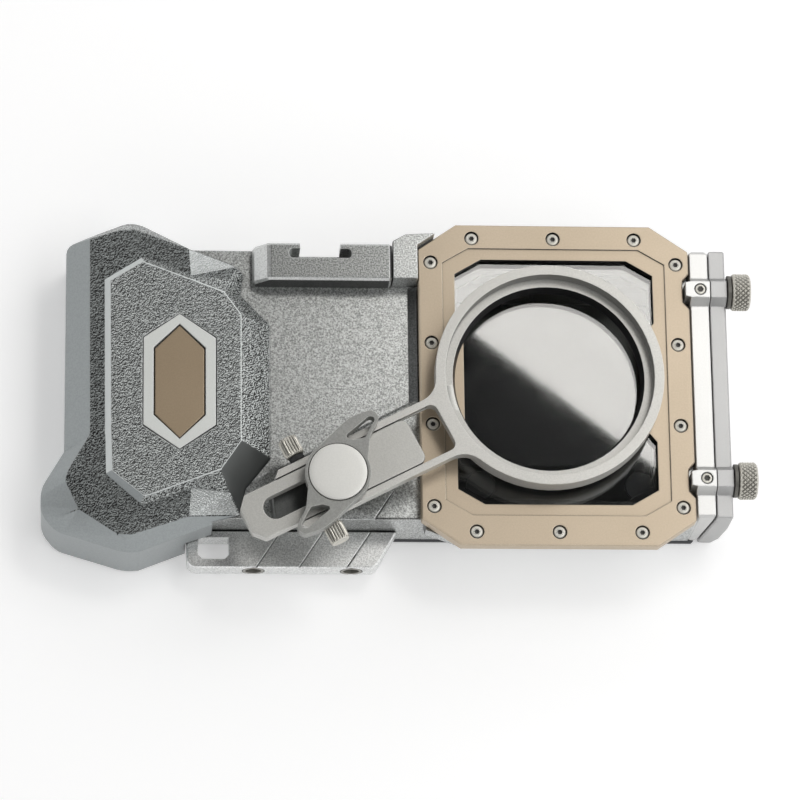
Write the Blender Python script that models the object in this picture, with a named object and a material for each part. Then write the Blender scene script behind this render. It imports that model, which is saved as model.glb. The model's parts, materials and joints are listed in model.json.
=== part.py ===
"""Underwater phone housing with a side handle, a rear lens window and a swing-away filter arm.

The housing lies on its front bezel. X runs along the housing towards the end cap, Y runs across it
towards the accessory shoe, and Z points out of the rear window. All outlines are drawn from the centre
of the window frame, and the finished assembly is moved so that its origin is at the bottom centre.
"""
import math

import bmesh
import bpy
from mathutils import Matrix, Vector

mm = 0.001

# Clearances
GAP = 0.3 * mm
OVER = 2.0 * mm
HOLE_CLEARANCE = 0.35 * mm
FINE_EDGE = 0.3 * mm
SHARP_ANGLE = math.radians(32)

# Front bezel, touch membrane and the body's front lip
BEZEL_THICK = 2.4 * mm
BEZEL_OVERHANG = 0.4 * mm
BEZEL_EDGE = 0.6 * mm
BEZEL_REACH = 2.4 * mm
BEZEL_SLOPE = 1.2 * mm
TOUCH_MARGIN_LEFT = 10.0 * mm
TOUCH_MARGIN_RIGHT = 7.2 * mm
TOUCH_MARGIN_Y = 11.0 * mm
TOUCH_CORNER = 7.0 * mm
SEAL_LAP = 4.0 * mm
MEMBRANE_THICK = 1.2 * mm
FRONT_GASKET_THICK = 0.8 * mm
FRONT_LIP_THICK = 1.6 * mm

# Body
BODY_LEFT = -121.0 * mm
BODY_CENTRE_Y = 1.0 * mm
BODY_HALF_Y = 45.0 * mm
BODY_BACK_Z = 25.7 * mm
BODY_EDGE_BEVEL = 0.9 * mm
BACK_WALL = 4.2 * mm
SIDE_WALL = 5.7 * mm
END_WALL = 4.5 * mm
COLLAR_RISE = 0.6 * mm
COLLAR_THICK = 5.0 * mm
COLLAR_INSET = 1.6 * mm
COLLAR_TAPER = 7.6 * mm
COLLAR_CHAMFER = 4.6 * mm
COVE_WIDTH = 2.8 * mm
COVE_RISE = 2.4 * mm
COVE_LOW_Y = -5.0 * mm

# Grip tongue on the body's left end
TONGUE_LENGTH = 13.0 * mm
TONGUE_HALF_Y = 20.0 * mm
TONGUE_RISE = 3.8 * mm
TONGUE_THICK = 10.0 * mm

# Rear window frame
FRAME_HALF_X = 43.9 * mm
FRAME_OVERHANG_Y = 8.8 * mm
FRAME_CHAMFER_X = 12.4 * mm
FRAME_CHAMFER_Y = 8.5 * mm
FRAME_THICK = 4.4 * mm
FRAME_EDGE_BEVEL = 0.35 * mm
FRAME_BORDER_X = 11.8 * mm
FRAME_BORDER_Y = 12.7 * mm
WINDOW_CHAMFER_X = 8.5 * mm
WINDOW_CHAMFER_Y = 5.0 * mm
WINDOW_CHEEK = 2.5 * mm
WINDOW_CHEEK_HALF_Y = 17.0 * mm
WINDOW_CHEEK_SLOPE = 3.0 * mm
LAND_WIDTH = 4.0 * mm
LAND_DROP = 0.5 * mm
NOTCH_DEPTH = 2.0 * mm
NOTCH_HALF = 6.0 * mm
NOTCH_FLOOR_HALF = 3.6 * mm

# Rear window glass and its gasket
GLASS_THICK = 3.5 * mm
GLASS_LAP = 3.2 * mm
REAR_GASKET_THICK = 0.8 * mm
REAR_GASKET_WIDTH = 2.6 * mm
LENS_LIP_THICK = 1.8 * mm
LENS_HOLE_INSET = 1.2 * mm

# Frame screws, four along each side and three along each end
SCREW_EDGE_X = 4.1 * mm
SCREW_EDGE_Y = 4.6 * mm
SCREW_END_Y = 12.9 * mm
SCREW_END_X = 17.5 * mm
SIDE_SCREWS = 4
END_SCREWS = 3
SCREW_HEAD_RADIUS = 2.05 * mm
SCREW_HEAD_HEIGHT = 2.2 * mm
SCREW_SHANK_RADIUS = 1.25 * mm
SCREW_LENGTH = 5.8 * mm
SCREW_SINK = 0.25 * mm
SCREW_SOCKET_RADIUS = 0.95 * mm
SCREW_SOCKET_DEPTH = 1.2 * mm

# Bezel screws
BEZEL_SCREW_EDGE = 2.8 * mm
BEZEL_SCREW_LEFT = 25.0 * mm
BEZEL_SCREW_RIGHT = 16.2 * mm
BEZEL_SCREWS_PER_SIDE = 3
BEZEL_SCREW_LENGTH = 7.0 * mm
BEZEL_HEAD_HEIGHT = 1.3 * mm
BEZEL_SOCKET_DEPTH = 0.8 * mm

# End flange and end cap
FLANGE_THICK = 6.2 * mm
FLANGE_RISE = 4.3 * mm
FLANGE_BEVEL = 1.0 * mm
SPLIT_KNEE_DROP = 4.0 * mm
SPLIT_LEAN = 0.1
CAP_THICK = 5.2 * mm
CAP_LOW_Z = 0.4 * mm
CAP_FOOT = 3.2 * mm
CAP_FOOT_RISE = 5.0 * mm
CAP_KNEE = 1.2 * mm
CAP_KNEE_RISE = 16.0 * mm
BOSS_EDGE = 13.2 * mm
BOSS_HALF_WIDTH = 2.7 * mm
BOSS_SLOPE = 2.05 * mm
BOSS_RISE = 3.7 * mm
BOSS_NOSE = 1.7 * mm
BOSS_NOSE_HALF = 2.3 * mm
PLUG_LENGTH = 7.0 * mm
PLUG_WALL = 3.6 * mm
PLUG_CORNER = 2.5 * mm
PLUG_INNER_CORNER = 0.6 * mm
SEAL_SETBACK = 4.6 * mm
SEAL_WIDTH = 1.8 * mm
SEAL_DEPTH = 1.2 * mm

# Thumbscrews that hold the end cap, their washers and the set screws above them
THUMB_AXIS_DROP = 3.4 * mm
THUMB_HEAD_RADIUS = 6.0 * mm
THUMB_HEAD_LENGTH = 6.0 * mm
THUMB_HEAD_BEVEL = 0.7 * mm
THUMB_SHANK_RADIUS = 2.0 * mm
THUMB_ENGAGEMENT = 5.0 * mm
THUMB_WASHER_RADIUS = 5.4 * mm
THUMB_WASHER_THICK = 1.0 * mm
SET_SCREW_RADIUS = 1.7 * mm
SET_SCREW_LENGTH = 1.0 * mm
SET_SCREW_SOCKET = 0.85 * mm

# Accessory shoe rail and the shoulder between it and the window frame
RAIL_SETBACK = 23.8 * mm
RAIL_SLOPE_X = 5.0 * mm
RAIL_SLOPE_Z = 5.0 * mm
RAIL_RISE = 8.8 * mm
RAIL_WIDTH = 12.6 * mm
RAIL_BEVEL = 0.8 * mm
SHOE_SETBACK = 21.7 * mm
SHOE_MOUTH = 12.9 * mm
SHOE_WIDTH = 20.2 * mm
SHOE_LIP = 2.0 * mm
SHOE_HEIGHT = 3.2 * mm
SHOE_CORNER = 1.3 * mm
SHOE_RELIEF_DEPTH = 1.8 * mm
SHOE_RELIEF_DROP = 5.7 * mm
SHOULDER_WIDTH = 8.0 * mm
SHOULDER_SETBACK = 11.8 * mm
SHOULDER_OVERHANG = 3.2 * mm
SHOULDER_CHAMFER_X = 4.3 * mm
SHOULDER_CHAMFER_Y = 2.4 * mm
SHOULDER_REACH = 5.6 * mm

# Tripod plate along the body's lower side
PLATE_SETBACK = 3.1 * mm
PLATE_LENGTH = 67.4 * mm
PLATE_RISE = 2.2 * mm
PLATE_THICK = 8.0 * mm
PLATE_DEPTH = 12.3 * mm
PLATE_END_SLOPE = 6.9 * mm
PLATE_CORNER = 3.0 * mm
STRAP_END = 3.7 * mm
STRAP_LENGTH = 9.9 * mm
STRAP_WIDTH = 7.0 * mm
STRAP_SETBACK = 2.4 * mm
STRAP_CORNER = 1.4 * mm
TRIPOD_HOLE_SETBACK = 21.4 * mm
TRIPOD_HOLE_PITCH = 31.4 * mm
TRIPOD_HOLES = 2
TRIPOD_THREAD_RADIUS = 2.6 * mm
TRIPOD_INSERT_RADIUS = 3.4 * mm
TRIPOD_INSERT_LENGTH = 8.5 * mm
GROOVE_WIDTH = 0.5 * mm
GROOVE_DEPTH = 0.4 * mm
GROOVE_FOOT = (22.2 * mm, 35.9 * mm, 51.1 * mm)
GROOVE_RUN = 0.66

# Grip: outlines are drawn from the body's left end, height by height
GRIP_BASE_Z = 1.2 * mm
GRIP_SHOULDER_DROP = 1.7 * mm
GRIP_FACE_RISE = 4.3 * mm
GRIP_PANEL_RISE = 6.5 * mm
GRIP_WALL = 4.0 * mm
GRIP_LAP_RISE = 0.7 * mm
GRIP_BROW_RISE = 3.6 * mm
GRIP_DRAWN_HALF_Y = 45.0 * mm
GRIP_HOLLOW = 33.0 * mm
GRIP_HOLLOW_SETBACK = 5.0 * mm
GRIP_WRAP_LOW = 11.0 * mm
GRIP_WRAP_HIGH = 3.0 * mm
GRIP_SCREW_OFFSET_Y = 12.0 * mm
GRIP_SCREW_LENGTH = 9.0 * mm
GRIP_SCREW_HEAD_RADIUS = 3.0 * mm
GRIP_SCREW_SHANK_RADIUS = 1.6 * mm
GRIP_SCREW_HEAD_HEIGHT = 1.6 * mm
GRIP_SCREW_SOCKET_RADIUS = 1.3 * mm
GRIP_SCREW_SOCKET_DEPTH = 1.0 * mm
GRIP_SCREW_SINK = 2.0 * mm

# Badge inlaid in the grip's panel
BADGE_SETBACK = 0.4 * mm
BADGE_Y = -0.5 * mm
BADGE_HALF_X = 11.5 * mm
BADGE_HALF_Y = 22.5 * mm
BADGE_POINT = 8.0 * mm
BADGE_RIM = 3.2 * mm
BADGE_THICK = 1.6 * mm
BADGE_PROUD = 0.25 * mm
BADGE_CORE_DROP = 0.5 * mm

# Cradle that holds the phone inside the body
CRADLE_THICK = 2.6 * mm
CRADLE_CORNER = 3.0 * mm
CRADLE_CUT_MARGIN_LEFT = 2.4 * mm
CRADLE_CUT_MARGIN_RIGHT = 1.9 * mm
CRADLE_CUT_EDGE_LOW = 19.0 * mm
CRADLE_CUT_EDGE_HIGH = 9.5 * mm
CRADLE_RELIEF_SETBACK = 17.0 * mm
CRADLE_RELIEF_GAP = 11.5 * mm
CRADLE_RELIEF_EDGE = 19.0 * mm
PAD_RADIUS = 4.6 * mm
PAD_PROUD = 1.0 * mm
PAD_RIGHT_X = 27.1 * mm
PAD_LEFT_X = -24.2 * mm
PAD_EDGE = 12.5 * mm
PAD_SIDE_MARGIN = 5.5 * mm
PAD_SIDE_Y = 20.0 * mm

# Filter arm: lengths run along the arm from the stud's axis towards the ring
STUD_SETBACK = 49.8 * mm
STUD_EDGE = 9.4 * mm
ARM_ANGLE = math.radians(27.0)
ARM_THICK = 4.1 * mm
BLOCK_RISE = 8.5 * mm
BLOCK_BEVEL = 1.0 * mm
BLOCK_OUTLINE = (
    (-23.0 * mm, -2.0 * mm),
    (-22.2 * mm, -2.9 * mm),
    (10.0 * mm, -6.6 * mm),
    (12.0 * mm, -4.0 * mm),
    (12.0 * mm, 4.0 * mm),
    (9.5 * mm, 6.8 * mm),
    (-19.7 * mm, 6.8 * mm),
)
STUD_RADIUS = 3.0 * mm
BUSH_FLANGE_RADIUS = 7.4 * mm
BUSH_FLANGE_THICK = 2.1 * mm
BUSH_HALF_LENGTH = 5.0 * mm
BAR_TAIL = 32.2 * mm
BAR_NOSE = 28.3 * mm
BAR_HALF_WIDTH = 7.9 * mm
BAR_TAIL_CHAMFER_X = 3.3 * mm
BAR_TAIL_CHAMFER_Y = 3.7 * mm
BAR_NOSE_CORNER = 2.6 * mm
BAR_TENON = 1.1 * mm
BAR_TENON_THICK = 1.4 * mm
SLOT_END = 25.7 * mm
SLOT_HALF_WIDTH = 3.9 * mm
SLOT_FRONT = 5.6 * mm
SLOT_ROUNDING = 0.98
KEY_ROUNDING = 0.9
RAIL_OUTER = 10.4 * mm
FORK_TAIL = 17.6 * mm
FORK_CHAMFER = 2.0 * mm
FORK_WINDOW_END = 38.9 * mm
FORK_WINDOW_CORNER = 2.4 * mm
FORK_BLOCK_HALF = 4.6 * mm
FORK_BLOCK_DROP = 1.6 * mm
ARM_FILLET = 8.0 * mm

# Filter ring
RING_DISTANCE = 76.6 * mm
RING_OUTER = 36.6 * mm
RING_THREAD = 33.5 * mm
RING_LIP = 30.8 * mm
RING_BORE = 29.8 * mm
RING_DROP = 1.8 * mm
RING_THICK = 8.4 * mm
RING_EDGE = 1.4 * mm

# Wing knob on the stud
KNOB_WASHER_RADIUS = 8.0 * mm
KNOB_WASHER_THICK = 1.1 * mm
KNOB_HUB_RADIUS = 10.4 * mm
KNOB_THICK = 4.2 * mm
KNOB_CAP_RADIUS = 9.15 * mm
KNOB_CAP_THICK = 1.6 * mm
KNOB_CAP_PROUD = 0.8 * mm
KNOB_BORE_DEPTH = 2.2 * mm
LOBE_OUTLINE = (
    (-7.2 * mm, 7.2 * mm, 0.0),
    (3.6 * mm, 18.0 * mm, 14.0 * mm),
    (15.9 * mm, 22.6 * mm, 2.6 * mm),
    (10.2 * mm, 12.2 * mm, 9.0 * mm),
    (9.4 * mm, 4.4 * mm, 0.0),
)
LOBE_SLOT = (
    (1.8 * mm, 11.4 * mm, 0.8 * mm),
    (9.8 * mm, 18.4 * mm, 1.4 * mm),
    (12.2 * mm, 18.2 * mm, 1.0 * mm),
    (8.6 * mm, 11.4 * mm, 1.2 * mm),
    (5.0 * mm, 10.6 * mm, 0.8 * mm),
)

# Clamp screws that lock the fork on the bar
CLAMP_STATION = -8.2 * mm
CLAMP_HEAD_RADIUS = 3.2 * mm
CLAMP_HEAD_LENGTH = 6.3 * mm
CLAMP_HEAD_BEVEL = 0.5 * mm
CLAMP_SHANK_RADIUS = 1.4 * mm
CLAMP_WASHER_RADIUS = 2.5 * mm
CLAMP_WASHER_THICK = 1.5 * mm

# Levels that follow from the stack of pieces
BODY_BASE_Z = BEZEL_THICK + GAP
MEMBRANE_TOP_Z = BODY_BASE_Z + MEMBRANE_THICK
FRONT_GASKET_Z = MEMBRANE_TOP_Z + GAP
FRONT_SEAT_Z = FRONT_GASKET_Z + FRONT_GASKET_THICK + GAP
BAY_LOW_Z = FRONT_SEAT_Z + FRONT_LIP_THICK
BAY_HIGH_Z = BODY_BACK_Z - BACK_WALL
COLLAR_Z = BODY_BACK_Z + COLLAR_RISE
FRAME_LOW_Z = COLLAR_Z + GAP
FRAME_TOP_Z = FRAME_LOW_Z + FRAME_THICK
REAR_GASKET_Z = BAY_HIGH_Z + LENS_LIP_THICK + GAP
GLASS_LOW_Z = REAR_GASKET_Z + REAR_GASKET_THICK + GAP
GLASS_TOP_Z = GLASS_LOW_Z + GLASS_THICK
SCREW_HEAD_Z = FRAME_TOP_Z - SCREW_SINK - SCREW_HEAD_HEIGHT
FLANGE_BACK_Z = BODY_BACK_Z + FLANGE_RISE
SPLIT_KNEE_Z = FLANGE_BACK_Z - SPLIT_KNEE_DROP
BOSS_TOP_Z = FLANGE_BACK_Z + BOSS_RISE
THUMB_AXIS_Z = BOSS_TOP_Z - THUMB_AXIS_DROP
RAIL_TOP_Z = BODY_BACK_Z + RAIL_RISE
PLATE_LOW_Z = BODY_BASE_Z + PLATE_RISE
PLATE_BACK_Z = PLATE_LOW_Z + PLATE_THICK
TONGUE_LOW_Z = BODY_BASE_Z + TONGUE_RISE
GRIP_SHOULDER_Z = BODY_BACK_Z - GRIP_SHOULDER_DROP
GRIP_LAP_Z = BODY_BACK_Z + GRIP_LAP_RISE
GRIP_BROW_Z = BODY_BACK_Z + GRIP_BROW_RISE
GRIP_FACE_Z = BODY_BACK_Z + GRIP_FACE_RISE
GRIP_PANEL_Z = BODY_BACK_Z + GRIP_PANEL_RISE
BLOCK_LOW_Z = BODY_BACK_Z + GAP
BLOCK_TOP_Z = BODY_BACK_Z + BLOCK_RISE
BAR_LOW_Z = BLOCK_TOP_Z + GAP + BUSH_FLANGE_THICK + GAP
ARM_TOP_Z = BAR_LOW_Z + ARM_THICK
ARM_MID_Z = ARM_TOP_Z - ARM_THICK / 2
RING_LOW_Z = ARM_TOP_Z - RING_THICK
KNOB_LOW_Z = ARM_TOP_Z + GAP + KNOB_WASHER_THICK + GAP
KNOB_TOP_Z = KNOB_LOW_Z + KNOB_THICK

# Places across the housing
BODY_LOW_Y = BODY_CENTRE_Y - BODY_HALF_Y
BODY_HIGH_Y = BODY_CENTRE_Y + BODY_HALF_Y
BAY_HALF_Y = BODY_HALF_Y - SIDE_WALL
TOUCH_HALF_Y = BODY_HALF_Y - TOUCH_MARGIN_Y
FRAME_HALF_Y = BODY_HALF_Y + FRAME_OVERHANG_Y
WINDOW_HALF_Y = FRAME_HALF_Y - FRAME_BORDER_Y
BOSS_OFFSET_Y = BODY_HALF_Y - BOSS_EDGE
RAIL_LOW_Y = BODY_HIGH_Y - RAIL_WIDTH
COVE_HIGH_Y = RAIL_LOW_Y
SHOULDER_LOW_Y = BODY_HIGH_Y - SHOULDER_SETBACK
SHOULDER_HIGH_Y = BODY_HIGH_Y + SHOULDER_OVERHANG
PLATE_HIGH_Y = BODY_LOW_Y - GAP
PLATE_LOW_Y = PLATE_HIGH_Y - PLATE_DEPTH
STUD_Y = BODY_LOW_Y + STUD_EDGE

# Places along the housing
BAY_LEFT = BODY_LEFT + END_WALL
WINDOW_HALF_X = FRAME_HALF_X - FRAME_BORDER_X
FLANGE_LEFT = FRAME_HALF_X + GAP
SPLIT_X = FLANGE_LEFT + FLANGE_THICK
CAP_LEFT = SPLIT_X + GAP
CAP_RIGHT = CAP_LEFT + CAP_THICK
THUMB_WASHER_X = CAP_RIGHT + GAP
THUMB_HEAD_X = THUMB_WASHER_X + THUMB_WASHER_THICK + GAP
THUMB_END_X = THUMB_HEAD_X + THUMB_HEAD_LENGTH
TOUCH_LEFT = BODY_LEFT + TOUCH_MARGIN_LEFT
TOUCH_RIGHT = FLANGE_LEFT - TOUCH_MARGIN_RIGHT
BEZEL_RIGHT = FLANGE_LEFT + BEZEL_REACH
RAIL_LEFT = BODY_LEFT + RAIL_SETBACK
SHOE_CENTRE_X = RAIL_LEFT + SHOE_SETBACK
PLATE_LEFT = BODY_LEFT + PLATE_SETBACK
PLATE_RIGHT = PLATE_LEFT + PLATE_LENGTH
STRAP_LEFT = PLATE_LEFT + STRAP_END
BADGE_X = BODY_LEFT + BADGE_SETBACK
CRADLE_CUT_LEFT = -WINDOW_HALF_X - CRADLE_CUT_MARGIN_LEFT
CRADLE_CUT_RIGHT = WINDOW_HALF_X + CRADLE_CUT_MARGIN_RIGHT
STUD_X = BODY_LEFT + STUD_SETBACK
BUSH_RADIUS = STUD_RADIUS + GAP
FORK_INNER = BAR_HALF_WIDTH + GAP


def material(name, colour, roughness, metallic):
    """A plain surface finish."""
    finish = bpy.data.materials.new(name)
    finish.use_nodes = True
    shader = finish.node_tree.nodes["Principled BSDF"]
    shader.inputs["Base Color"].default_value = (*colour, 1.0)
    shader.inputs["Roughness"].default_value = roughness
    shader.inputs["Metallic"].default_value = metallic
    finish.diffuse_color = (*colour, 1.0)
    return finish


def add_object(name, bm, finish, parent=None):
    """Turn a bmesh into a named object with its faces pointing out."""
    bm.normal_update()
    bmesh.ops.recalc_face_normals(bm, faces=bm.faces)
    mesh = bpy.data.meshes.new(name)
    bm.to_mesh(mesh)
    bm.free()
    mesh.materials.append(finish)
    mesh.shade_smooth()
    mesh.set_sharp_from_angle(angle=SHARP_ANGLE)
    obj = bpy.data.objects.new(name, mesh)
    bpy.context.collection.objects.link(obj)
    obj.parent = parent
    return obj


def turn_axis(points, axis):
    """Map points drawn with Z as the long axis to the named axis."""
    if axis == "X":
        return [(z, x, y) for x, y, z in points]
    if axis == "Y":
        return [(x, z, y) for x, y, z in points]
    return points


def stack(name, rings, finish, axis="Z", parent=None):
    """A closed solid through rings of equally many points, each a list of (x, y, z)."""
    bm = bmesh.new()
    loops = [[bm.verts.new(p) for p in turn_axis(ring, axis)] for ring in rings]
    count = len(loops[0])
    bm.faces.new(loops[0])
    bm.faces.new(loops[-1])
    for lower, upper in zip(loops, loops[1:]):
        for i in range(count):
            j = (i + 1) % count
            bm.faces.new((lower[i], lower[j], upper[j], upper[i]))
    bmesh.ops.remove_doubles(bm, verts=bm.verts, dist=1e-6)
    bmesh.ops.dissolve_degenerate(bm, edges=bm.edges, dist=1e-6)
    bmesh.ops.connect_verts_nonplanar(bm, angle_limit=1e-4, faces=bm.faces)
    return add_object(name, bm, finish, parent)


def level(outline, z):
    """An outline lifted to one height."""
    return [(x, y, z) for x, y in outline]


def prism(name, outline, low, high, finish, axis="Z", parent=None):
    """An outline extruded from low to high along an axis."""
    return stack(name, [level(outline, low), level(outline, high)], finish, axis, parent)


def band(name, outer, inner, low, high, finish, axis="Z", parent=None):
    """A closed band between two outlines of equally many points."""
    bm = bmesh.new()
    rings = [level(outer, low), level(outer, high), level(inner, high), level(inner, low)]
    loops = [[bm.verts.new(p) for p in turn_axis(ring, axis)] for ring in rings]
    count = len(outer)
    for k in range(len(loops)):
        near, far = loops[k], loops[(k + 1) % len(loops)]
        for i in range(count):
            j = (i + 1) % count
            bm.faces.new((near[i], near[j], far[j], far[i]))
    return add_object(name, bm, finish, parent)


def turned(name, profile, finish, segments=32, axis="Z", parent=None):
    """A profile of (radius, height) points spun about an axis; a closed profile makes a ring."""
    bm = bmesh.new()
    verts = [bm.verts.new((r, 0.0, h)) for r, h in profile]
    edges = [bm.edges.new(pair) for pair in zip(verts, verts[1:])]
    if profile[0][0] > 0 or profile[-1][0] > 0:
        edges.append(bm.edges.new((verts[-1], verts[0])))
    bmesh.ops.spin(bm, geom=verts + edges, axis=(0, 0, 1), cent=(0, 0, 0), angle=math.tau,
                   steps=segments, use_merge=True, use_duplicate=False)
    bmesh.ops.remove_doubles(bm, verts=bm.verts, dist=1e-6)
    for vert in bm.verts:
        vert.co = turn_axis([tuple(vert.co)], axis)[0]
    return add_object(name, bm, finish, parent)


def rounded(corners, steps=4):
    """An outline from (x, y, radius) corners, each rounded by an arc."""
    points = []
    count = len(corners)
    for i, (x, y, radius) in enumerate(corners):
        here = Vector((x, y))
        to_last = (Vector(corners[i - 1][:2]) - here).normalized()
        to_next = (Vector(corners[(i + 1) % count][:2]) - here).normalized()
        if radius <= 0:
            points.append((x, y))
            continue
        half = to_last.angle(to_next) / 2
        centre = here + (to_last + to_next).normalized() * (radius / math.sin(half))
        start = here + to_last * (radius / math.tan(half)) - centre
        end = here + to_next * (radius / math.tan(half)) - centre
        sweep = start.angle_signed(end)
        for k in range(steps + 1):
            turn = Matrix.Rotation(-sweep * k / steps, 2)
            points.append(tuple(centre + turn @ start))
    return points


def rectangle(x0, x1, y0, y1, radius=0.0, steps=4):
    """A rectangle with rounded corners."""
    return rounded([(x, y, radius) for x, y in ((x0, y0), (x1, y0), (x1, y1), (x0, y1))], steps)


def octagon(half_x, half_y, cut_x, cut_y, centre_y=0.0):
    """A rectangle about (0, centre_y) with its corners cut off."""
    right = [(half_x - cut_x, -half_y), (half_x, cut_y - half_y),
             (half_x, half_y - cut_y), (half_x - cut_x, half_y)]
    left = [(-x, -y) for x, y in right]
    return [(x, y + centre_y) for x, y in right + left]


def circle(radius, segments=24, centre=(0.0, 0.0)):
    """A regular outline round a centre."""
    return [(centre[0] + radius * math.cos(math.tau * i / segments),
             centre[1] + radius * math.sin(math.tau * i / segments)) for i in range(segments)]


def boolean(target, other, operation):
    """Combine another object with the target and keep it as a hidden guide."""
    modifier = target.modifiers.new(f"{operation.lower()}_{other.name}", "BOOLEAN")
    modifier.operation = operation
    modifier.object = other
    modifier.solver = "EXACT"
    other.hide_render = True
    other.display_type = "WIRE"


def cut(target, *tools):
    """Take the tools away from the target."""
    for tool in tools:
        boolean(target, tool, "DIFFERENCE")


def join(target, *additions):
    """Add solids to the target."""
    for addition in additions:
        boolean(target, addition, "UNION")


def bevel(obj, width, angle=40.0):
    """A narrow machined edge on every corner sharper than the angle."""
    modifier = obj.modifiers.new("edge_bevel", "BEVEL")
    modifier.width = width
    modifier.segments = 1
    modifier.limit_method = "ANGLE"
    modifier.angle_limit = math.radians(angle)


def screw_profile(head_radius, head_height, shank_radius, length, socket_radius, socket_depth):
    """Half section of a socket screw, from the shank's tip up to the socket's floor."""
    rim = head_height / 4
    return [(0.0, -length), (shank_radius, -length), (shank_radius, 0.0), (head_radius, 0.0),
            (head_radius, head_height - rim), (head_radius - rim, head_height),
            (socket_radius, head_height), (socket_radius, head_height - socket_depth),
            (0.0, head_height - socket_depth)]


def window_outline(grow=0.0):
    """The rear window's opening, narrower between its two cheeks."""
    half_x = WINDOW_HALF_X + grow
    half_y = WINDOW_HALF_Y + grow
    cheek_x = half_x - WINDOW_CHEEK
    cheek_y = WINDOW_CHEEK_HALF_Y - grow
    foot_y = cheek_y + WINDOW_CHEEK_SLOPE
    right = [(half_x - WINDOW_CHAMFER_X, -half_y), (half_x, WINDOW_CHAMFER_Y - half_y),
             (half_x, -foot_y), (cheek_x, -cheek_y), (cheek_x, cheek_y), (half_x, foot_y),
             (half_x, half_y - WINDOW_CHAMFER_Y), (half_x - WINDOW_CHAMFER_X, half_y)]
    left = [(-x, -y) for x, y in right]
    return [(x, y + BODY_CENTRE_Y) for x, y in right + left]


def frame_outline():
    """The window frame's outer edge, notched on the right to clear the flange's bosses."""
    points = octagon(FRAME_HALF_X, FRAME_HALF_Y, FRAME_CHAMFER_X, FRAME_CHAMFER_Y)
    notches = []
    for centre in (-BOSS_OFFSET_Y, BOSS_OFFSET_Y):
        inner = FRAME_HALF_X - NOTCH_DEPTH
        notches += [(FRAME_HALF_X, centre - NOTCH_HALF), (inner, centre - NOTCH_FLOOR_HALF),
                    (inner, centre + NOTCH_FLOOR_HALF), (FRAME_HALF_X, centre + NOTCH_HALF)]
    return points[:2] + notches + points[2:]


def frame_screw_places():
    """Screw centres: a column down each side and a row along each end."""
    side_x = FRAME_HALF_X - SCREW_EDGE_X
    end_y = FRAME_HALF_Y - SCREW_EDGE_Y
    span_x = 2 * (FRAME_HALF_X - SCREW_END_X)
    span_y = 2 * (FRAME_HALF_Y - SCREW_END_Y)
    places = []
    for x in (-side_x, side_x):
        for i in range(SIDE_SCREWS):
            places.append((x, span_y * (0.5 - i / (SIDE_SCREWS - 1))))
    for y in (end_y, -end_y):
        for i in range(END_SCREWS):
            places.append((span_x * (i / (END_SCREWS - 1) - 0.5), y))
    return places


def bezel_screw_places():
    """Screw centres along the bezel's two long sides."""
    left = BODY_LEFT + BEZEL_SCREW_LEFT
    step = (FLANGE_LEFT - BEZEL_SCREW_RIGHT - left) / (BEZEL_SCREWS_PER_SIDE - 1)
    offset_y = BODY_HALF_Y - BEZEL_SCREW_EDGE
    return [(left + i * step, BODY_CENTRE_Y + side * offset_y)
            for side in (1, -1) for i in range(BEZEL_SCREWS_PER_SIDE)]


def boss_section(centre, low):
    """Section of a raised boss across the flange, in Y and Z."""
    foot = BOSS_HALF_WIDTH + BOSS_SLOPE
    return [(centre - foot, low), (centre + foot, low), (centre + foot, FLANGE_BACK_Z),
            (centre + BOSS_HALF_WIDTH, BOSS_TOP_Z), (centre - BOSS_HALF_WIDTH, BOSS_TOP_Z),
            (centre - foot, FLANGE_BACK_Z)]


def split_at(z):
    """X of the joint between flange and end cap, which leans in towards the front."""
    return SPLIT_X - SPLIT_LEAN * max(SPLIT_KNEE_Z - z, 0.0)


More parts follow.
